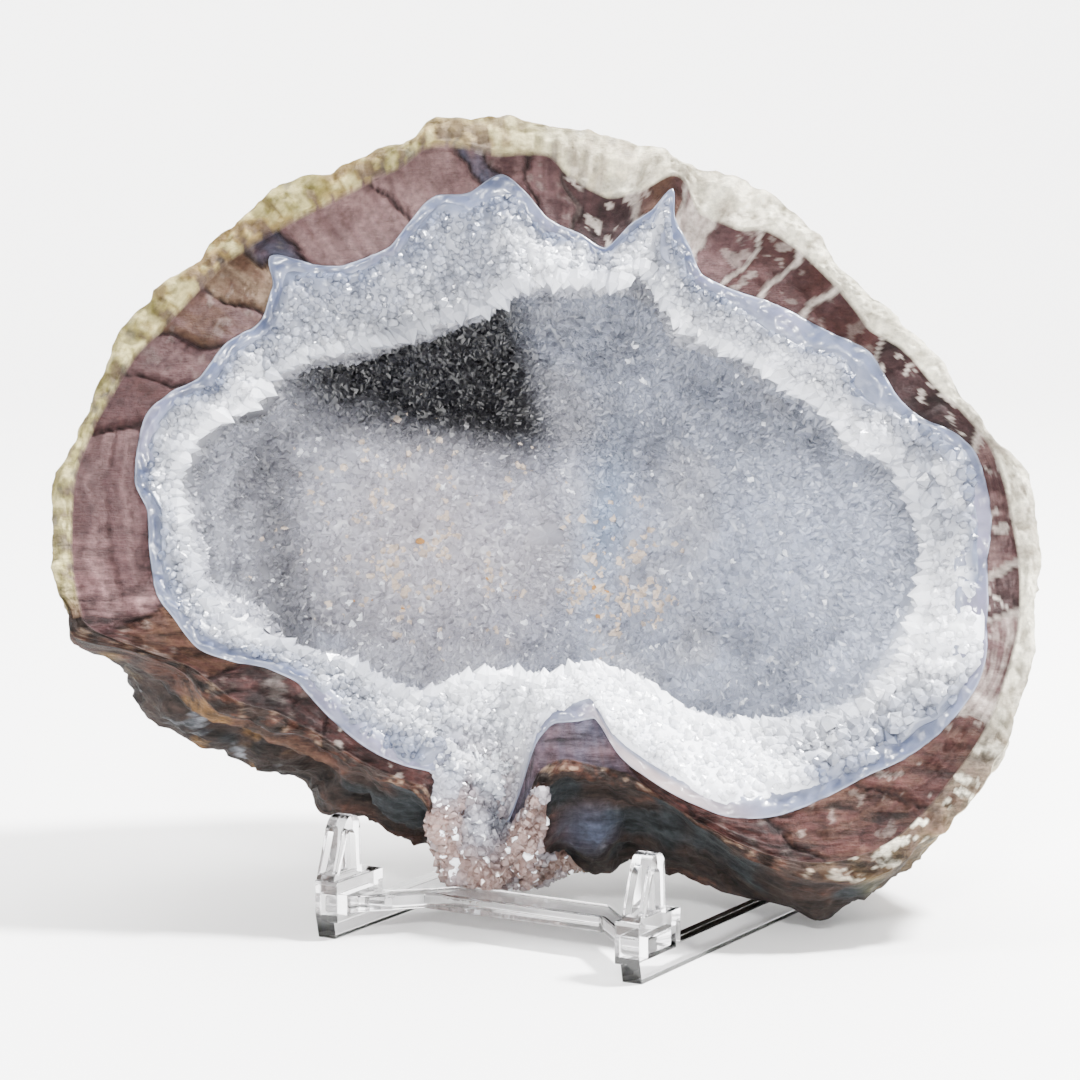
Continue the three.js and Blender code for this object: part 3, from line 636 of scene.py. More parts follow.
def skinTint(p, angle, share):   # the weathered outside, and the dark beds under the stone
    t = rockTones
    under = darkShare(angle + 5 * roughNoise(p, 8, 75, 2))
    noise = roughNoise(p, 9, 71, 4)
    fine = roughNoise(p, 2.2, 73, 4)
    rind = blend(t["ochre"], t["olive"], smooth(noise, -0.3, 0.5))
    # paler round the right-hand end, partly the cream rind and partly painted light where that side is sunlit
    rind = blend(rind, t["cream"] * 0.7, np.clip(paleAndSunlitRound(angle) + 0.35 * fine, 0, 1))
    rind = blend(rind, t["tan"], smooth(noise + 0.6 * fine, 0.1, 0.7) * paleAndSunlitRound(angle) * 0.6)
    back = blend(t["back"], t["cream"] * 0.6, smooth(noise + 0.7 * fine, 0.1, 0.9))
    back = blend(back, t["brown"], smooth(roughNoise(p, 14, 77, 3), 0.15, 0.7))
    skin = blend(rind, back, smooth(share, 0.12, 0.45))
    layers = bedding(angle, share)
    dark = blend(t["underside"], t["undersideRed"], smooth(layers + 0.4 * fine, -0.1, 0.6))
    dark = blend(dark, t["undersideGreen"], smooth(noise, 0.1, 0.6))
    dark = blend(dark, t["brown"], smooth(layers, 0.5, 0.9) * 0.6)
    left = smooth(angle, 198, 203) * (1 - smooth(angle, 216, 224))
    dark = blend(dark, t["amber"], left * smooth(roughNoise(p, 5, 79, 3), 0.3, 0.6) * 0.8)
    # painted glints on the dark beds at the lower left
    dark = blend(dark, t["paintedGlint"], left * smooth(roughNoise(p, 3, 80, 3), 0.55, 0.75) * 0.6)
    knobShare = np.clip(swell(p, rock["knob"]["at"], rock["knob"]["size"], 1.5) - 0.4, 0, 1)
    dark = blend(dark, t["slate"], knobShare * 0.8)
    # a painted glint on the knob
    dark = blend(dark, t["paintedGlint"], knobShare * smooth(fine, 0.35, 0.7) * 0.5)
    return blend(skin, dark, under * (1 - 0.55 * smooth(share, 0.45, 0.8)))


def rindTint(p, angle, part):   # part is 0 at the front edge and 1 at the ledge
    t = rockTones
    streak = roughNoise(stretched(angle * 1.1, part * 2, 0), 1.4, 81, 4)
    broad = roughNoise(p, 11, 83, 3)
    fine = roughNoise(p, 1.6, 85, 3)
    tone = blend(t["olive"], t["ochre"], smooth(broad, -0.4, 0.4))
    tone = blend(tone, t["straw"], smooth(streak + 0.5 * fine, 0.05, 0.7) * 0.85)
    tone = blend(tone, t["brown"], smooth(-streak - 0.3 * fine, 0.0, 0.5) * (0.35 + 0.65 * part))
    tone = blend(tone, t["black"], smooth(roughNoise(p, 2.4, 88, 3), 0.5, 0.7) * 0.7)
    # paler round the right-hand end, partly the cream rind and partly painted light where that side is sunlit
    pale = paleAndSunlitRound(angle)
    tone = blend(tone, t["cream"], np.clip(pale + 0.4 * streak * pale, 0, 1))
    tone = blend(tone, t["brown"], smooth(fine, 0.22, 0.5) * smooth(speckled(angle), 0.2, 0.9) * 0.85)
    tone = blend(tone, t["mauve"], smooth(roughNoise(p, 6, 87, 3), 0.35, 0.65) * pale * 0.35)
    low = smooth(angle, 294, 303) * (1 - smooth(angle, 328, 341))
    tone = blend(tone, t["rust"], low * 0.85)
    tone = blend(tone, t["cream"], low * smooth(fine + 0.4 * streak, 0.25, 0.6) * 0.8)
    dark = blend(t["underside"], t["undersideRed"], smooth(streak + fine, -0.3, 0.6))
    dark = blend(dark, t["tan"], smooth(fine, 0.45, 0.8) * 0.5)
    return blend(tone, dark, darkShare(angle + 4) * (1 - 0.6 * smooth(angle, 300, 316)))


def speckled(angle):   # the speckled stretch of the right-hand rind
    return near(angle, 326, 13) + 0.6 * near(angle, 4, 12)


plateEnds = np.array([plate[0] for plate in plates], float)
plateTones = np.array([[rockTones[plate[1]], rockTones[plate[2]]] for plate in plates])
plateTraits = np.array([plate[3:] for plate in plates], float)


def plateOf(p, angle, part):   # the plate at a place, and how far its border is in degrees
    wander = roughNoise(p, 9, 95, 3) * 2.2 + (part - 0.5) * 1.5
    turn = np.clip(angle + wander * smooth(np.minimum(angle, 360 - angle), 0, 8), 0.01, 359.99)
    index = np.searchsorted(plateEnds, turn)
    starts = np.concatenate([[0], plateEnds[:-1]])
    border = np.minimum(plateEnds[index] - turn, turn - starts[index])
    border = np.where((turn < 3) | (turn > 357), 3, border)
    return index, border


def flowLines(p, part):   # uneven bands that run along the wall
    bend = 5 * roughNoise(p, 22, 91, 3) + 1.6 * roughNoise(p, 6, 92, 3)
    return np.sin(part * 15 + bend) * 0.65 + 0.35 * np.sin(part * 41 + 2 * bend)


def jasperTint(p, angle, part, index, border, chip):   # part is 0 at the rind and 1 at the chalcedony
    t = rockTones
    traits = plateTraits[index]
    fine = roughNoise(p, 1.5, 97, 3)
    mottle = roughNoise(p, 6, 98, 4)
    flow = 0.5 + 0.5 * flowLines(p, part)
    rays = roughNoise(stretched(angle * 1.3, part * 1.2, 0), 1.3, 93, 4)
    mixed = 0.5 + 0.8 * traits[:, 0] * rays + traits[:, 1] * (flow - 0.5) + 0.45 * mottle
    pair = plateTones[index]
    tone = blend(pair[:, 0], pair[:, 1], np.clip(mixed, 0, 1))
    tone = tone * (0.85 + 0.3 * chip)[:, None]
    tone = blend(tone, t["chalk"], smooth(fine + 0.3 * mottle, 0.42, 0.65) * traits[:, 2])
    veins = (1 - smooth(border, 0.15, 0.6)) * smooth(paleAndSunlitRound(angle), 0.3, 0.9)
    tone = blend(tone, t["chalk"], veins * 0.9)
    cracks = (1 - smooth(border, 0.1, 0.5)) * (1 - smooth(paleAndSunlitRound(angle), 0.3, 0.9))
    return blend(tone, t["black"], cracks * 0.8)


def buildRock():
    n = rock["columns"]
    angles = np.arange(n) * 360 / n
    points, tints = [], []

    def row(p, tint):
        points.append(p)
        tints.append(np.clip(tint, 0, 1))

    for i in range(rock["skinRows"]):
        share = (1 - i / (rock["skinRows"] - 1)) ** rock["rowsTowardsEdge"]
        shares = np.full(n, min(share, rock["tip"]))
        p = skinPoint(angles, shares)
        row(p, skinTint(p, angles, shares))
    edge = skinPoint(angles, np.zeros(n))
    edgeRadius = np.hypot(edge[:, 0], edge[:, 1])
    ledgeRadius = curve["rind"](angles) + 0.15
    for i in range(1, rock["rindRows"] + 1):
        part = i / rock["rindRows"]
        radius = edgeRadius + (ledgeRadius - edgeRadius) * part
        lift = 0.5 * np.sin(np.pi * min(part * 1.15, 1))
        p = polar(angles, radius, curve["faceHeight"](angles) + 0.4 * part + lift)
        bump = roughNoise(p, 3.5, 61, 5, 0.65) * rock["rindBump"]
        streak = roughNoise(stretched(angles * 1.1, part * 2, 0), 1.3, 81, 4) * rock["rindStreak"]
        p[:, 2] += (bump + streak) * np.sin(np.pi * min(part, 0.9)) ** 0.5
        row(p, rindTint(p, angles, np.full(n, part)))
    inner = curve["jasper"](angles)
    for i in range(rock["jasperRows"] + 1):
        part = i / rock["jasperRows"]
        radius = (ledgeRadius - 0.35) + (inner - ledgeRadius + 0.35) * part
        p = polar(angles, radius, jasperHeight(angles))
        flat = p * np.array([1, 1, 0]) + np.array([0, 0, 4.2])
        index, border = plateOf(flat, angles, part)
        first, second, chip = cellNoise(flat, rock["chipSize"], 101)
        rough = plateTraits[index, 3]
        settle = np.sin(np.pi * min(max(part, 0.04), 0.97)) ** 0.35
        level = hashOf(index, index * 3, index * 0, 41)
        step = (level - 0.5) * rock["plateStep"] * smooth(border, 0.0, 1.0)
        dip = -rock["crackDepth"] * (1 - smooth(border, 0.1, 0.7))
        chips = (chip - 0.5) * rock["chipStep"] * smooth(second - first, 0, 0.1) * rough
        flow = 0.2 * flowLines(flat, part) * plateTraits[index, 1]
        fine = (roughNoise(p, 2.4, 103, 4) * 0.4 + roughNoise(p, 0.9, 105, 2) * 0.18) * rough
        p[:, 2] += (step + dip + chips + flow + fine) * settle
        row(p, jasperTint(flat, angles, np.full(n, part), index, border, chip))
    for i in range(1, rock["wallRows"]):
        share = np.full(n, min(i / (rock["wallRows"] - 1), rock["tip"]))
        p = wallPoint(angles, share, curve["jasper"](angles), jasperHeight(angles), "rock")
        row(p, np.tile(rockTones["plum"], (n, 1)))
    return sealedRows("rock_surface", points, tints)


def markUnderside(thing):   # how strongly each place of the rock shows its dark layers
    points = np.empty(len(thing.data.vertices) * 3, dtype=np.float32)
    thing.data.vertices.foreach_get("co", points)
    points = points.reshape(-1, 3) / mm
    low = 1 - smooth(points[:, 2] + 0.24 * points[:, 0], 34, 52)
    layer = thing.data.attributes.new("under", "FLOAT", "POINT")
    layer.data.foreach_set("value", low.astype(np.float32))


rockSurface = buildRock()
markUnderside(rockSurface)
place(rockSurface, "rock_shell", "rock", finishes["rock"])
print("stage: rock", len(rockSurface.data.polygons))


# Chalcedony band
band = {"columns": 720, "faceRows": 16, "wallRows": 5, "wallShare": 0.16, "swell": 0.35,
        "inset": 0.25, "fall": 0.45, "lump": 0.4, "pit": 0.22}
bandTones = {
    "edge": colour(150, 155, 170),
    "deep": colour(58, 66, 90),
    "mid": colour(80, 88, 112),
    "inner": colour(118, 124, 142),
    "violet": colour(112, 104, 124),
    "pink": colour(178, 160, 158),
}


def bandRadius(angle):
    return curve["jasper"](angle) - curve["band"](angle)


def bandHeight(angle):
    return jasperHeight(angle) - 0.3


def buildBand():
    n = band["columns"]
    angles = np.arange(n) * 360 / n
    outer = curve["jasper"](angles) - 0.02
    inner = bandRadius(angles)
    points, tints = [], []
    for i in range(band["wallRows"], 0, -1):
        share = np.full(n, band["wallShare"] * i / band["wallRows"])
        points.append(wallPoint(angles, share, outer - band["inset"], jasperHeight(angles), "rock"))
        tints.append(np.tile(bandTones["deep"], (n, 1)))
    for i in range(band["faceRows"] + 1):
        part = i / band["faceRows"]
        radius = outer + (inner - outer) * part
        crown = band["swell"] * math.sin(math.pi * part)
        p = polar(angles, radius, jasperHeight(angles) + 0.15 - band["fall"] * part + crown)
        p[:, 2] += roughNoise(p, 4, 121, 3) * band["lump"] + roughNoise(p, 1.2, 123, 3) * band["pit"]
        tone = blend(bandTones["deep"], bandTones["mid"], smooth(roughNoise(p, 7, 125, 3), -0.4, 0.5))
        tone = blend(tone, bandTones["violet"], smooth(roughNoise(p, 16, 127, 2), 0, 0.6) * 0.5)
        tone = blend(tone, bandTones["pink"], near(angles, 292, 9) * 0.8)
        tone = blend(tone, bandTones["inner"], np.full(n, smooth(part, 0.45, 1.0)))
        line = 0.6 - 0.6 * smooth(part * curve["band"](angles), 0.1, 0.35)
        points.append(p)
        tints.append(blend(tone, bandTones["edge"], line))
    for i in range(1, band["wallRows"] + 1):
        share = np.full(n, band["wallShare"] * i / band["wallRows"])
        points.append(wallPoint(angles, share, inner, bandHeight(angles), "band"))
        tints.append(np.tile(bandTones["deep"], (n, 1)))
    rows = len(points)
    quads = gridFaces(rows, n)
    ring = np.arange(n)
    nextRing = (ring + 1) % n
    last = (rows - 1) * n
    closing = np.stack([last + ring, ring, nextRing, last + nextRing], axis=1)
    quads = np.concatenate([quads, closing])
    return makeMesh("chalcedony_surface", seat(np.concatenate(points)), quads,
                    np.concatenate(tints))


bandSurface = buildBand()
place(bandSurface, "chalcedony_band", "chalcedony", finishes["band"])
print("stage: chalcedony", len(bandSurface.data.polygons))


# Crystal crust
crust = {
    "columns": 480,
    "faceRows": 40,
    "hollowRows": 120,
    "backRows": 8,
    "tip": 0.985,
    "hollowTip": 0.99,
    "forms": [
        ((-53, -16, -15), (6, 6, 7), 9), ((-57, -3, -18), (5, 7, 7), 6), ((-50, 12, -20), (6, 6, 8), 4),
        ((4, 30, -38), (9, 12, 12), 6), ((7, 14, -46), (7, 12, 12), 6.5),
        ((8, -4, -47), (6, 12, 12), 5.5), ((11, -20, -40), (7, 10, 12), 5),
        ((-55, -11, -22), (7, 6, 9), 4), ((-58, 4, -20), (6, 7, 9), 3),
        ((44, -22, -24), (14, 7, 12), 4.5), ((30, -30, -30), (14, 7, 12), 3.5),
    ],
    "lumpSize": 10,
    "lumpHeight": 2.6,
    "beadSize": 3.6,
    "beadHeight": 1.5,
    "overhang": (1.7, 6),   # height and size of the druse's own lumps
    "ribHeight": 0.8,
    "ledgeHeight": 1.5,
    "hollowCrystal": {"count": 33000, "width": (0.85, 2.1), "length": (0.3, 0.6), "scatter": 0.24,
                      "shade": (0.8, 1.12), "paintedGlintShare": 0.01, "amber": 0.03},
    "lipCrystal": {"count": 9000, "width": (0.8, 1.5), "length": (0.4, 0.8), "scatter": 0.3,
                   "shade": (0.62, 1.16)},
    "tooth": {"step": 1.5, "width": (1.9, 3.3), "length": (0.65, 1.0), "scatter": 0.22,
              "shade": (0.9, 1.05)},
}
crustTones = {
    "shade": colour(96, 99, 106),
    "blue": colour(152, 158, 174),
    "grey": colour(158, 161, 172),
    "violet": colour(172, 167, 174),
    "clearBlue": colour(130, 145, 170),
    "deepBlue": colour(84, 91, 110),
    "frost": colour(232, 234, 240),
    "milk": colour(122, 126, 137),
    "tan": colour(206, 188, 172),
    "amber": colour(176, 130, 72),
    "pinkBrown": colour(110, 90, 85),
}
randomness = np.random.default_rng(7)


def crustHollow(angle, share):
    p = wallPoint(angle, share, curve["lip"](angle), curve["lipHeight"](angle), "crystals")
    push = sum(swell(p, at, size, height) for at, size, height in crust["forms"])
    lump = crust["lumpHeight"] * rounded(p, crust["lumpSize"], 131)
    bead = crust["beadHeight"] * rounded(p, crust["beadSize"], 135)
    leftward = 0.35 + 0.65 * smooth(-p[:, 0], -15, 30)
    push = push + lump + bead * leftward + roughNoise(p, 3, 133, 3) * 0.35
    return p - away(p) * (push * smooth(share, 0, 0.06))[:, None]


overlapRound = closedCurve([   # share of the chalcedony that the quartz grows over
    [0, 0.75], [15, 0.5], [25, 0.15], [45, 0.1], [55, 0.5], [66, 0.6], [72, 0.7], [90, 0.55],
    [100, 0.3], [112, 0.5], [130, 0.5], [136, 0.3], [150, 0.45], [165, 0.3], [185, 0.1], [200, 0.3],
    [215, 0.5], [235, 0.75], [262, 0.6], [275, 0.2], [292, 0.1], [305, 0.4], [325, 0.6], [345, 0.8]])


def crustFace(angle, part):   # part is 0 at the chalcedony and 1 at the lip
    ring = polar(angle, 40 + 0 * angle, 0 * angle)
    cover = np.clip(overlapRound(angle) + 0.3 * roughNoise(ring, 5, 143, 3), 0, 0.9)
    outer = bandRadius(angle) - 0.05 + cover * curve["band"](angle)
    radius = outer + (curve["lip"](angle) - outer) * part
    fall = smooth(part, 0, 1.2)
    start = bandHeight(angle) + 0.25 + 0.35 * cover
    height = start + (curve["lipHeight"](angle) - start) * fall
    p = polar(angle, radius, height)
    bulgeHeight, bulgeSize = crust["overhang"]
    bulge = bulgeHeight * rounded(p, bulgeSize, 145) - 0.5
    ribs = roughNoise(stretched(angle * 0.9, part * 1.5, 0), 1.6, 147, 3) * crust["ribHeight"]
    ledges = near(angle, 326, 11) * crust["ledgeHeight"] * (0.5 - (part * 3.4 + ribs * 0.25) % 1)
    lift = bulge + ribs + ledges + roughNoise(p, 2.5, 141, 3) * 0.5
    p[:, 2] += lift * smooth(part, 0, 0.15) * (1 - 0.5 * smooth(part, 0.85, 1))
    return p


whiteAndSunlitRound = closedCurve([   # how white the druse is round the lip: partly its own white, partly painted light on the sunlit bottom lip and a sunlit patch at the right
    [0, 0.06], [15, 0.05], [28, 0.2], [45, 0.25], [60, 0.12], [76, 0.1], [88, 0.35], [100, 0.06],
    [125, 0], [150, 0.02], [168, 0.25], [180, 0.1], [195, 0], [215, 0], [235, 0.02], [250, 0.25],
    [265, 0.7], [280, 1.2], [310, 1.2], [318, 0.25], [331, 0.05], [338, 0.6], [345, 1.3], [352, 0.4]])


def lipTone(p, angle, part):   # blue-grey at the chalcedony, whiter towards the lip
    t = crustTones
    # the druse's own white, with painted light on its sunlit bottom lip and right-hand patch
    whiteAndSunlit = whiteAndSunlitRound(angle)
    patch = (smooth(roughNoise(p, 7, 149, 3), -0.1, 0.6) - 0.2) * 0.4
    inner = 0.25 * smooth(part, 0.6, 0.95)
    tone = blend(t["milk"], t["frost"], np.clip(whiteAndSunlit + patch + inner, 0, 1))
    outer = blend(t["deepBlue"], t["frost"], np.clip(whiteAndSunlit - 0.45, 0, 1))
    tone = blend(outer, tone, smooth(part + 0.15 * roughNoise(p, 5, 153, 3), 0.0, 0.5))
    shadow = near(angle, 125, 18) * smooth(part, 0.55, 0.95)
    tone = blend(tone, t["shade"], shadow * 0.7)
    spillShare = near(angle, 256, 7) * smooth(-part, -0.7, -0.3)
    return blend(tone, t["pinkBrown"], spillShare * 0.8)


def frostShare(angle, share):   # white at the lip, bluer down the hollow
    reach = 0.02 + 0.03 * near(angle, 285, 40)
    return 1 - smooth(share, reach * 0.3, reach * 2.2)


def hollowTint(p, angle, share):
    t = crustTones
    noise = roughNoise(p, 12, 151, 3)
    tone = blend(t["blue"], t["grey"], smooth(noise - p[:, 0] / 60, -0.3, 0.4))
    shadeBetweenBeads = 1 - rounded(p, crust["beadSize"], 135)
    lumps = 1 - rounded(p, crust["lumpSize"], 131)
    leftward = 0.4 + 0.6 * smooth(-p[:, 0], -15, 25)
    clouds = 0.2 * roughNoise(p, 9, 157, 3)
    # painted shade in the gaps between the beads and between the lumps, deeper to the left, with cloudy tone
    # over it
    tone = tone * (1.14 - 0.5 * shadeBetweenBeads * leftward - 0.28 * lumps + clouds)[:, None]
    left = near(p[:, 0], -18, 26) * near(p[:, 1], 4, 20)
    tone = blend(tone, t["violet"], left * 0.85)
    streak = near(p[:, 0] - 0.12 * (p[:, 1] - 6), 9, 4) * near(p[:, 1], 8, 13)
    tone = blend(tone, t["clearBlue"], streak * 0.9)
    tone = blend(tone, t["frost"], frostShare(angle, share) * 0.85)
    # painted shade: the roof of the left basin and the wall inside the lip are darkened
    return tone * ((1 - paintedRoofShadow(p)) * (1 - wallShade(p, angle, share)))[:, None]


def paintedRoofShadow(p):   # painted shadow on the roof of the left basin, ended by the middle ridge
    roof = smooth(p[:, 1] + 0.12 * p[:, 0], 13, 24)
    arch = p[:, 0] + 0.3 * np.maximum(p[:, 1] - 22, 0)
    left = smooth(-arch, -4, 3) * (1 - 0.6 * smooth(-p[:, 0], 34, 50))
    return roof * (0.975 * left + 0.42 * (1 - left)) * smooth(-p[:, 2], 6, 13)


def wallShade(p, angle, share):   # painted shade on the wall just inside the lip, which never sees much light, and in an arc down the left basin's wall
    high = smooth(np.sin(np.radians(angle)), -0.35, 0.3)
    arc = near(p[:, 0] + 0.12 * p[:, 1], -43.5, 4.2)
    arc = arc * smooth(p[:, 1], -21, -12) * (1 - smooth(p[:, 1], 12, 24))
    return np.clip(0.5 * high * (1 - smooth(share, 0.05, 0.26)) + 0.55 * arc, 0, 0.8)


def tanShare(p):   # where the tan and cream crystals are
    left = near(p[:, 0], -18, 15) * near(p[:, 1], 5, 12)
    middle = near(p[:, 0], 12, 6) * near(p[:, 1], -2, 9)
    clumps = smooth(roughNoise(p, 3.5, 155, 2), 0.0, 0.35)
    return np.clip((0.6 * left + 0.7 * middle) * clumps, 0, 1)


def buildCrustBase():
    n = crust["columns"]
    angles = np.arange(n) * 360 / n
    points, tints = [], []
    for i in range(crust["backRows"], 0, -1):
        share = np.full(n, crust["tip"] * i / crust["backRows"])
        points.append(wallPoint(angles, share, bandRadius(angles) - 0.3, bandHeight(angles), "band"))
        tints.append(np.tile(crustTones["shade"], (n, 1)))
    for i in range(crust["faceRows"] + 1):
        part = np.full(n, i / crust["faceRows"])
        p = crustFace(angles, part)
        tints.append(lipTone(p, angles, part))
        points.append(p)
    for i in range(1, crust["hollowRows"]):
        share = np.full(n, crust["hollowTip"] * (i / (crust["hollowRows"] - 1)) ** 0.9)
        p = crustHollow(angles, share)
        points.append(p)
        tints.append(hollowTint(p, angles, share) * 0.8)   # darker than the crystals that stand on it
    return sealedRows("crust_base", points, tints)


def growCrystals(name, spots, ways, widths, lengths, tints, stem=0.0):   # six-sided points, some on a stem
    count = len(spots)
    ways = ways / np.linalg.norm(ways, axis=1, keepdims=True)
    helper = np.where(np.abs(ways[:, 2:3]) < 0.9, np.array([[0, 0, 1.0]]), np.array([[1.0, 0, 0]]))
    side = np.cross(ways, helper)
    side /= np.linalg.norm(side, axis=1, keepdims=True)
    other = np.cross(ways, side)
    twist = randomness.uniform(0, 2 * np.pi, count)
    squash = randomness.uniform(0.88, 1.14, count)
    rings = []
    levels = [-0.35, stem] if stem > 0 else [-0.3]
    for level in levels:
        for k in range(6):
            turn = twist + k * np.pi / 3
            flat = side * (np.cos(turn) * squash)[:, None] + other * (np.sin(turn) / squash)[:, None]
            rings.append(spots + flat * (widths / 2)[:, None] + ways * (level * lengths)[:, None])
    lean = side * randomness.normal(0, 0.08, count)[:, None] * widths[:, None]
    tip = spots + ways * lengths[:, None] + lean
    points = np.stack([*rings, tip], axis=1)
    per = points.shape[1]
    base = (np.arange(count) * per)[:, None]
    faces = []
    top = per - 1
    ringStart = top - 6
    for k in range(6):
        n = (k + 1) % 6
        faces.append(base + np.array([ringStart + k, ringStart + n, top]))
        if stem > 0:
            faces.append(base + np.array([k, n, 6 + n]))
            faces.append(base + np.array([k, 6 + n, 6 + k]))
    tint = np.repeat(np.clip(tints, 0, 1), per, axis=0)
    return makeMesh(name, points.reshape(-1, 3), np.concatenate(faces), tint, smoothFaces=False)


def surfaceWays(surface, u, v, stepU, stepV, outward):   # seated places, and the ways their crystals grow
    p, a, b = seat(surface(u, v)), seat(surface(u + stepU, v)), seat(surface(u, v + stepV))
    way = np.cross(a - p, b - p)
    way /= np.linalg.norm(way, axis=1, keepdims=True) + 1e-9
    flip = np.sign((way * outward).sum(axis=1))
    return p, way * flip[:, None]


def scatter(ways, kind):
    return ways + randomness.normal(0, kind["scatter"], ways.shape)


def shaded(tones, kind):   # each crystal a little lighter or darker than its place
    return tones * randomness.uniform(*kind["shade"], len(tones))[:, None]


def buildHollowCrystals():
    kind = crust["hollowCrystal"]
    count = kind["count"]
    draw = randomness.uniform(0.002, 1, count)   # half of them even by depth, half by width
    byDepth = np.arcsin(1 - draw)
    byWidth = np.arccos(draw ** (0.5 / stone["roundness"]))
    pick = randomness.uniform(0, 1, count) < 0.55
    share = np.clip(np.where(pick, byDepth, byWidth) / (np.pi / 2), 0.004, 0.985)
    angle = randomness.uniform(0, 360, count)
    local = crustHollow(angle, share)
    inward = seat(np.array([stone["heart"]], float)) - seat(local)
    stepAngle = 1 / (np.cos(np.radians(share * 90)) + 0.04)
    p, way = surfaceWays(crustHollow, angle, share, stepAngle, -0.012, inward)
    way = scatter(way, kind)
    small, large = kind["width"]
    widths = small + (large - small) * randomness.uniform(0, 1, count) ** 2.2
    widths = widths * (1 + 0.3 * frostShare(angle, share))
    widths = widths * (1 + 0.25 * smooth(local[:, 0], -10, 35))
    lengths = widths * randomness.uniform(*kind["length"], count)
    tone = hollowTint(local, angle, share)
    pick = randomness.uniform(0, 1, count) < tanShare(local)
    tone = np.where(pick[:, None], crustTones["tan"], tone)
    rare = randomness.uniform(0, 1, count) < tanShare(local) * kind["amber"]
    tone = np.where(rare[:, None], crustTones["amber"], tone)
    tone = shaded(tone, kind)
    # a few crystals painted white as glints, fewer under the painted roof shadow
    paintedGlintShare = randomness.uniform(0, 1, count) < kind["paintedGlintShare"] * (1 - paintedRoofShadow(local))
    tone = np.where(paintedGlintShare[:, None], crustTones["frost"], tone)
    parting = 4   # millimetres right of the middle, where the two meshes meet
    return [growCrystals(name, p[keep], way[keep], widths[keep], lengths[keep], tone[keep])
            for name, keep in (("crystals_left", local[:, 0] < parting),
                               ("crystals_right", local[:, 0] >= parting))]


def buildLipCrystals():
    kind = crust["lipCrystal"]
    count = kind["count"]
    angle = randomness.uniform(0, 360, count)
    part = randomness.uniform(0.02, 1.0, count) ** 0.8
    room = np.maximum(bandRadius(angle) - curve["lip"](angle), 0.5)
    keep = randomness.uniform(0, 22, count) < room + 3
    angle, part = angle[keep], part[keep]
    count = len(angle)
    lean = math.radians(stone["leanDegrees"])
    front = np.array([[0, -math.cos(lean), math.sin(lean)]])
    p, way = surfaceWays(crustFace, angle, part, 0.4, 0.01, front)
    toCentre = -polar(angle, np.ones(count), 0 * angle)
    toCentre = seat(toCentre) - seat(np.zeros((count, 3)))
    way = scatter(way + toCentre * (0.25 + 0.9 * smooth(part, 0.75, 1))[:, None], kind)
    facets = near(angle, 6, 10) + near(angle, 327, 9)   # larger ones at the right and in the ledges
    widths = randomness.uniform(*kind["width"], count) * (1 + 0.4 * smooth(part, 0.5, 1)) * (1 + 0.9 * facets)
    lengths = widths * randomness.uniform(*kind["length"], count)
    tone = shaded(lipTone(crustFace(angle, part), angle, part), kind)
    return growCrystals("crystals_lip", p, way, widths, lengths, tone, stem=0.35)


def buildLipTeeth():   # a row of larger points along the lip itself
    kind = crust["tooth"]
    angle = np.arange(0, 360, kind["step"])
    angle = angle + randomness.uniform(-0.5, 0.5, len(angle))
    count = len(angle)
    p = crustFace(angle, np.full(count, 0.985))
    way = -polar(angle, np.ones(count), np.full(count, -0.25))
    way = scatter(seat(p + way) - seat(p), kind)
    widths = randomness.uniform(*kind["width"], count)
    lengths = widths * randomness.uniform(*kind["length"], count)
    tone = shaded(lipTone(p, angle, np.ones(count)), kind)
    return growCrystals("crystals_teeth", seat(p), way, widths, lengths, tone, stem=0.3)


# Spill: quartz that runs over the rim and down the front of the underside
spill = {
    "middle": (247, 272),   # angle of its middle at the top and at the bottom
    "halfWidth": (11, 9),
    "startRadius": 34,
    "underShare": 0.42,
    "rimShare": 0.42,       # share of its length at which it turns over the rim
    "thickness": 2.6,
    "lumpHeight": 1.5,
    "lumpSize": 5.5,
    "columns": 150,
    "rows": 170,
    "crystal": {"count": 2600, "width": (0.9, 1.9), "length": (0.4, 0.8), "scatter": 0.3,
                "shade": (0.85, 1.12), "paintedGlintShare": 0.06},
}


def spillAngle(across, along):
    top, bottom = spill["middle"]
    wide, narrow = spill["halfWidth"]
    width = (wide + (narrow - wide) * along) * (1 + 0.22 * np.sin(along * 17 + across))
    return top + (bottom - top) * along + across * width


def spillPoint(across, along, lift=1):   # across from -1 to 1, along from the lip to the underside
    angle = spillAngle(across, along)
    front = skinPoint(angle, np.zeros_like(angle))
    edge = np.hypot(front[:, 0], front[:, 1])
    split = spill["rimShare"]
    face = np.clip(along / split, 0, 1)
    radius = spill["startRadius"] + (edge - spill["startRadius"]) * face
    level = curve["lipHeight"](angle) * (1 - face) * 0.6 + front[:, 2] * (face + (1 - face) * 0.4)
    onFace = polar(angle, radius, level)
    onSkin = skinPoint(angle, np.clip((along - split) / (1 - split), 0, 1) * spill["underShare"])
    p = np.where((along < split)[:, None], onFace, onSkin)
    side = np.clip(1 - across ** 2, 0, 1) ** 0.7
    end = smooth(along, 0, 0.12) * (1 - smooth(along, 0.7, 1))
    body = spill["thickness"] * side * end
    lumps = spill["lumpHeight"] * rounded(p, spill["lumpSize"], 161) + 0.5 * roughNoise(p, 3, 163, 3)
    outward = blend(np.array([0, 0, 1.0]), away(p), smooth(along, 0.3, 0.6))
    outward = outward / np.linalg.norm(outward, axis=1, keepdims=True)
    rise = (body + lumps * side * end - 0.4) * lift - 1.2 * (1 - lift)   # lift is 0 on its hidden side
    return p + outward * rise[:, None]


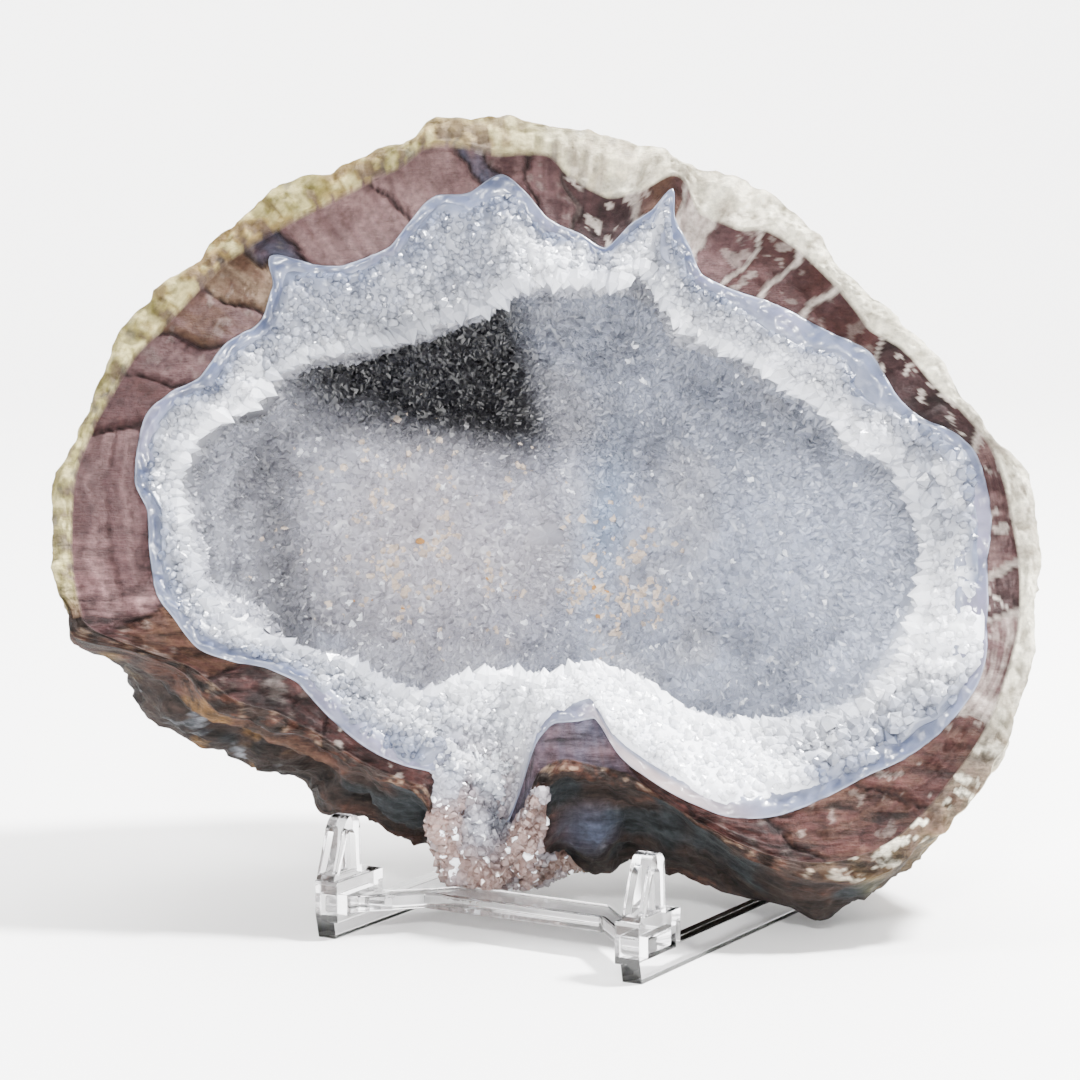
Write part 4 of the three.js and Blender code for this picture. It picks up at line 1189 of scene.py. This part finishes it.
def spillTint(p, along):
    t = crustTones
    tone = blend(t["frost"], t["milk"], smooth(along, 0.02, 0.2))
    tone = blend(tone, t["pinkBrown"], smooth(along + 0.12 * roughNoise(p, 6, 165, 3), 0.15, 0.42))
    tone = blend(tone, t["grey"], smooth(roughNoise(p, 5, 167, 3), 0.15, 0.6) * 0.5)
    return blend(tone, rockTones["tan"], smooth(along, 0.6, 0.95) * 0.7)


def buildSpill():   # a sheet of quartz with a hidden side and closed edges
    columns, rows = spill["columns"], spill["rows"]
    across, along = np.meshgrid(np.linspace(-1, 1, columns), np.linspace(0, 1, rows))
    across, along = across.ravel(), along.ravel()
    top, under = spillPoint(across, along), spillPoint(across, along, lift=0)
    r, c = np.meshgrid(np.arange(rows - 1), np.arange(columns - 1), indexing="ij")
    first = (r * columns + c).ravel()
    upper = np.stack([first, first + 1, first + columns + 1, first + columns], axis=1)
    lower = upper[:, ::-1] + len(across)
    loop = np.concatenate([np.arange(columns), np.arange(1, rows) * columns + columns - 1,
                           (rows - 1) * columns + np.arange(columns - 2, -1, -1),
                           np.arange(rows - 2, 0, -1) * columns])
    nextLoop = np.roll(loop, -1)
    sides = np.stack([nextLoop, loop, loop + len(across), nextLoop + len(across)], axis=1)
    tint = np.tile(spillTint(top, along), (2, 1))
    return makeMesh("quartz_spill", seat(np.concatenate([top, under])),
                    np.concatenate([upper, lower, sides]), tint)


def buildSpillCrystals():
    kind = spill["crystal"]
    count = kind["count"]
    across = randomness.uniform(-0.95, 0.95, count)
    along = randomness.uniform(0.02, 0.85, count)
    local = spillPoint(across, along)
    outward = seat(local + away(local)) - seat(local)
    p, way = surfaceWays(spillPoint, across, along, 0.04, 0.01, outward)
    way = scatter(way, kind)
    widths = randomness.uniform(*kind["width"], count) * (1 - 0.35 * smooth(along, 0.4, 0.8))
    lengths = widths * randomness.uniform(*kind["length"], count)
    tone = shaded(spillTint(local, along), kind)
    # a few crystals painted white as glints
    paintedGlintShare = randomness.uniform(0, 1, count) < kind["paintedGlintShare"]
    tone = np.where(paintedGlintShare[:, None], crustTones["frost"], tone)
    return growCrystals("crystals_spill", p, way, widths, lengths, tone, stem=0.3)


crustBase = buildCrustBase()
place(crustBase, "crystal_crust", "quartz", finishes["hollow"])
for half in buildHollowCrystals():
    place(half, "crystal_crust", "quartz", finishes["hollow"])
    print("stage:", half.name, len(half.data.polygons))
for edge in (buildLipCrystals(), buildLipTeeth(), buildSpill(), buildSpillCrystals()):
    place(edge, "crystal_crust", "quartz", finishes["lip"])
    print("stage:", edge.name, len(edge.data.polygons))


# Easel: the solids with their edges rounded as they come from a mould
easelLook = {"edgeRadius": 0.42, "edgeSteps": 3, "sharpDegrees": 24}


def roundEdges(node):   # a copy of a solid of the easel with its facets joined and its edges rounded
    solid = bpy.data.objects[node]
    thing = bpy.data.objects.new(node + "_moulded", solid.data.copy())
    thing.matrix_world = solid.matrix_world.copy()
    bpy.context.scene.collection.objects.link(thing)
    sheet = bmesh.new()
    sheet.from_mesh(thing.data)
    bmesh.ops.remove_doubles(sheet, verts=sheet.verts, dist=0.02 * mm)
    bmesh.ops.dissolve_limit(sheet, angle_limit=math.radians(2), verts=sheet.verts, edges=sheet.edges)
    sheet.to_mesh(thing.data)
    sheet.free()
    bevel = thing.modifiers.new("rounded", "BEVEL")
    bevel.width = easelLook["edgeRadius"] * mm
    bevel.segments = easelLook["edgeSteps"]
    bevel.limit_method = "ANGLE"
    bevel.angle_limit = math.radians(easelLook["sharpDegrees"])
    bevel.use_clamp_overlap = True
    thing.data.polygons.foreach_set("use_smooth", [True] * len(thing.data.polygons))
    weighted = thing.modifiers.new("evenShading", "WEIGHTED_NORMAL")
    weighted.keep_sharp = True
    return thing


for node in ("stand_left_rail", "stand_right_rail", "stand_crossbar"):
    place(roundEdges(node), node, "clear_plastic", finishes["clear"])
print("stage: easel")


# Floor, light and camera
studio = {
    "floorColour": (0.84, 0.835, 0.83, 1),
    "wallDistance": 1.6,
    "wallHeight": 2.4,
    "sweepRadius": 0.5,
    "sweepSteps": 16,
    "wallSides": 96,
    "skyColour": (0.95, 0.97, 1.0, 1),
    "skyStrength": 0.03,
    "lights": {   # power, size, place
        "key": (42, 0.12, (0.42, 0.0, 0.72)),
        "front": (14, 0.12, (-0.1, -0.88, 0.5)),
        "wall": (115, 1.5, (0.0, 0.6, 1.6)),
    },
}


def addLight(name, power, size, source, target):
    data = bpy.data.lights.new(name, "AREA")
    data.energy = power
    data.size = size
    lamp = bpy.data.objects.new(name, data)
    bpy.context.scene.collection.objects.link(lamp)
    lamp.location = source
    lamp.rotation_euler = (Vector(target) - Vector(source)).to_track_quat("-Z", "Y").to_euler()


def buildStudio():
    far, tall, bend = studio["wallDistance"], studio["wallHeight"], studio["sweepRadius"]
    profile = [(far - bend, 0.0)]   # radius and height of a round floor that curves up into a wall
    for step in range(1, studio["sweepSteps"] + 1):
        turn = math.radians(90 * step / studio["sweepSteps"])
        profile.append((far - bend + bend * math.sin(turn), bend - bend * math.cos(turn)))
    profile.append((far, tall))
    sides = studio["wallSides"]
    turns = [2 * math.pi * k / sides for k in range(sides)]
    corners = [(r * math.cos(turn), r * math.sin(turn), z) for r, z in profile for turn in turns]
    sheets = [tuple(range(sides))]
    for i in range(len(profile) - 1):
        for k in range(sides):
            n = (k + 1) % sides
            sheets.append((i * sides + k, (i + 1) * sides + k, (i + 1) * sides + n, i * sides + n))
    mesh = bpy.data.meshes.new("floor")
    mesh.from_pydata(corners, [], sheets)
    mesh.polygons.foreach_set("use_smooth", [True] * len(mesh.polygons))
    floor = bpy.data.objects.new("floor", mesh)
    bpy.context.scene.collection.objects.link(floor)
    material = newMaterial("paleFloor", Base_Color=studio["floorColour"], Roughness=0.6)[0]
    mesh.materials.append(material)
    world = bpy.data.worlds.new("studioSky")
    world.use_nodes = True
    world.node_tree.nodes["Background"].inputs["Color"].default_value = studio["skyColour"]
    world.node_tree.nodes["Background"].inputs["Strength"].default_value = studio["skyStrength"]
    bpy.context.scene.world = world
    for name, (power, size, source) in studio["lights"].items():
        target = (0, far, 0.6) if name == "wall" else (0, 0, 0.06)
        addLight(name, power, size, source, target)


view = {"height": 117, "distance": 485, "downDegrees": 6.84, "lens": 106.7, "sensor": 36}


def buildCamera():
    data = bpy.data.cameras.new("camera")
    data.lens = view["lens"]
    data.sensor_width = view["sensor"]
    data.clip_start = 0.01
    camera = bpy.data.objects.new("camera", data)
    bpy.context.scene.collection.objects.link(camera)
    camera.location = (shift[0] * mm, (shift[1] - view["distance"]) * mm, view["height"] * mm)
    camera.rotation_euler = (math.radians(90 - view["downDegrees"]), 0, 0)
    bpy.context.scene.camera = camera


buildStudio()
buildCamera()
print("stage: studio")
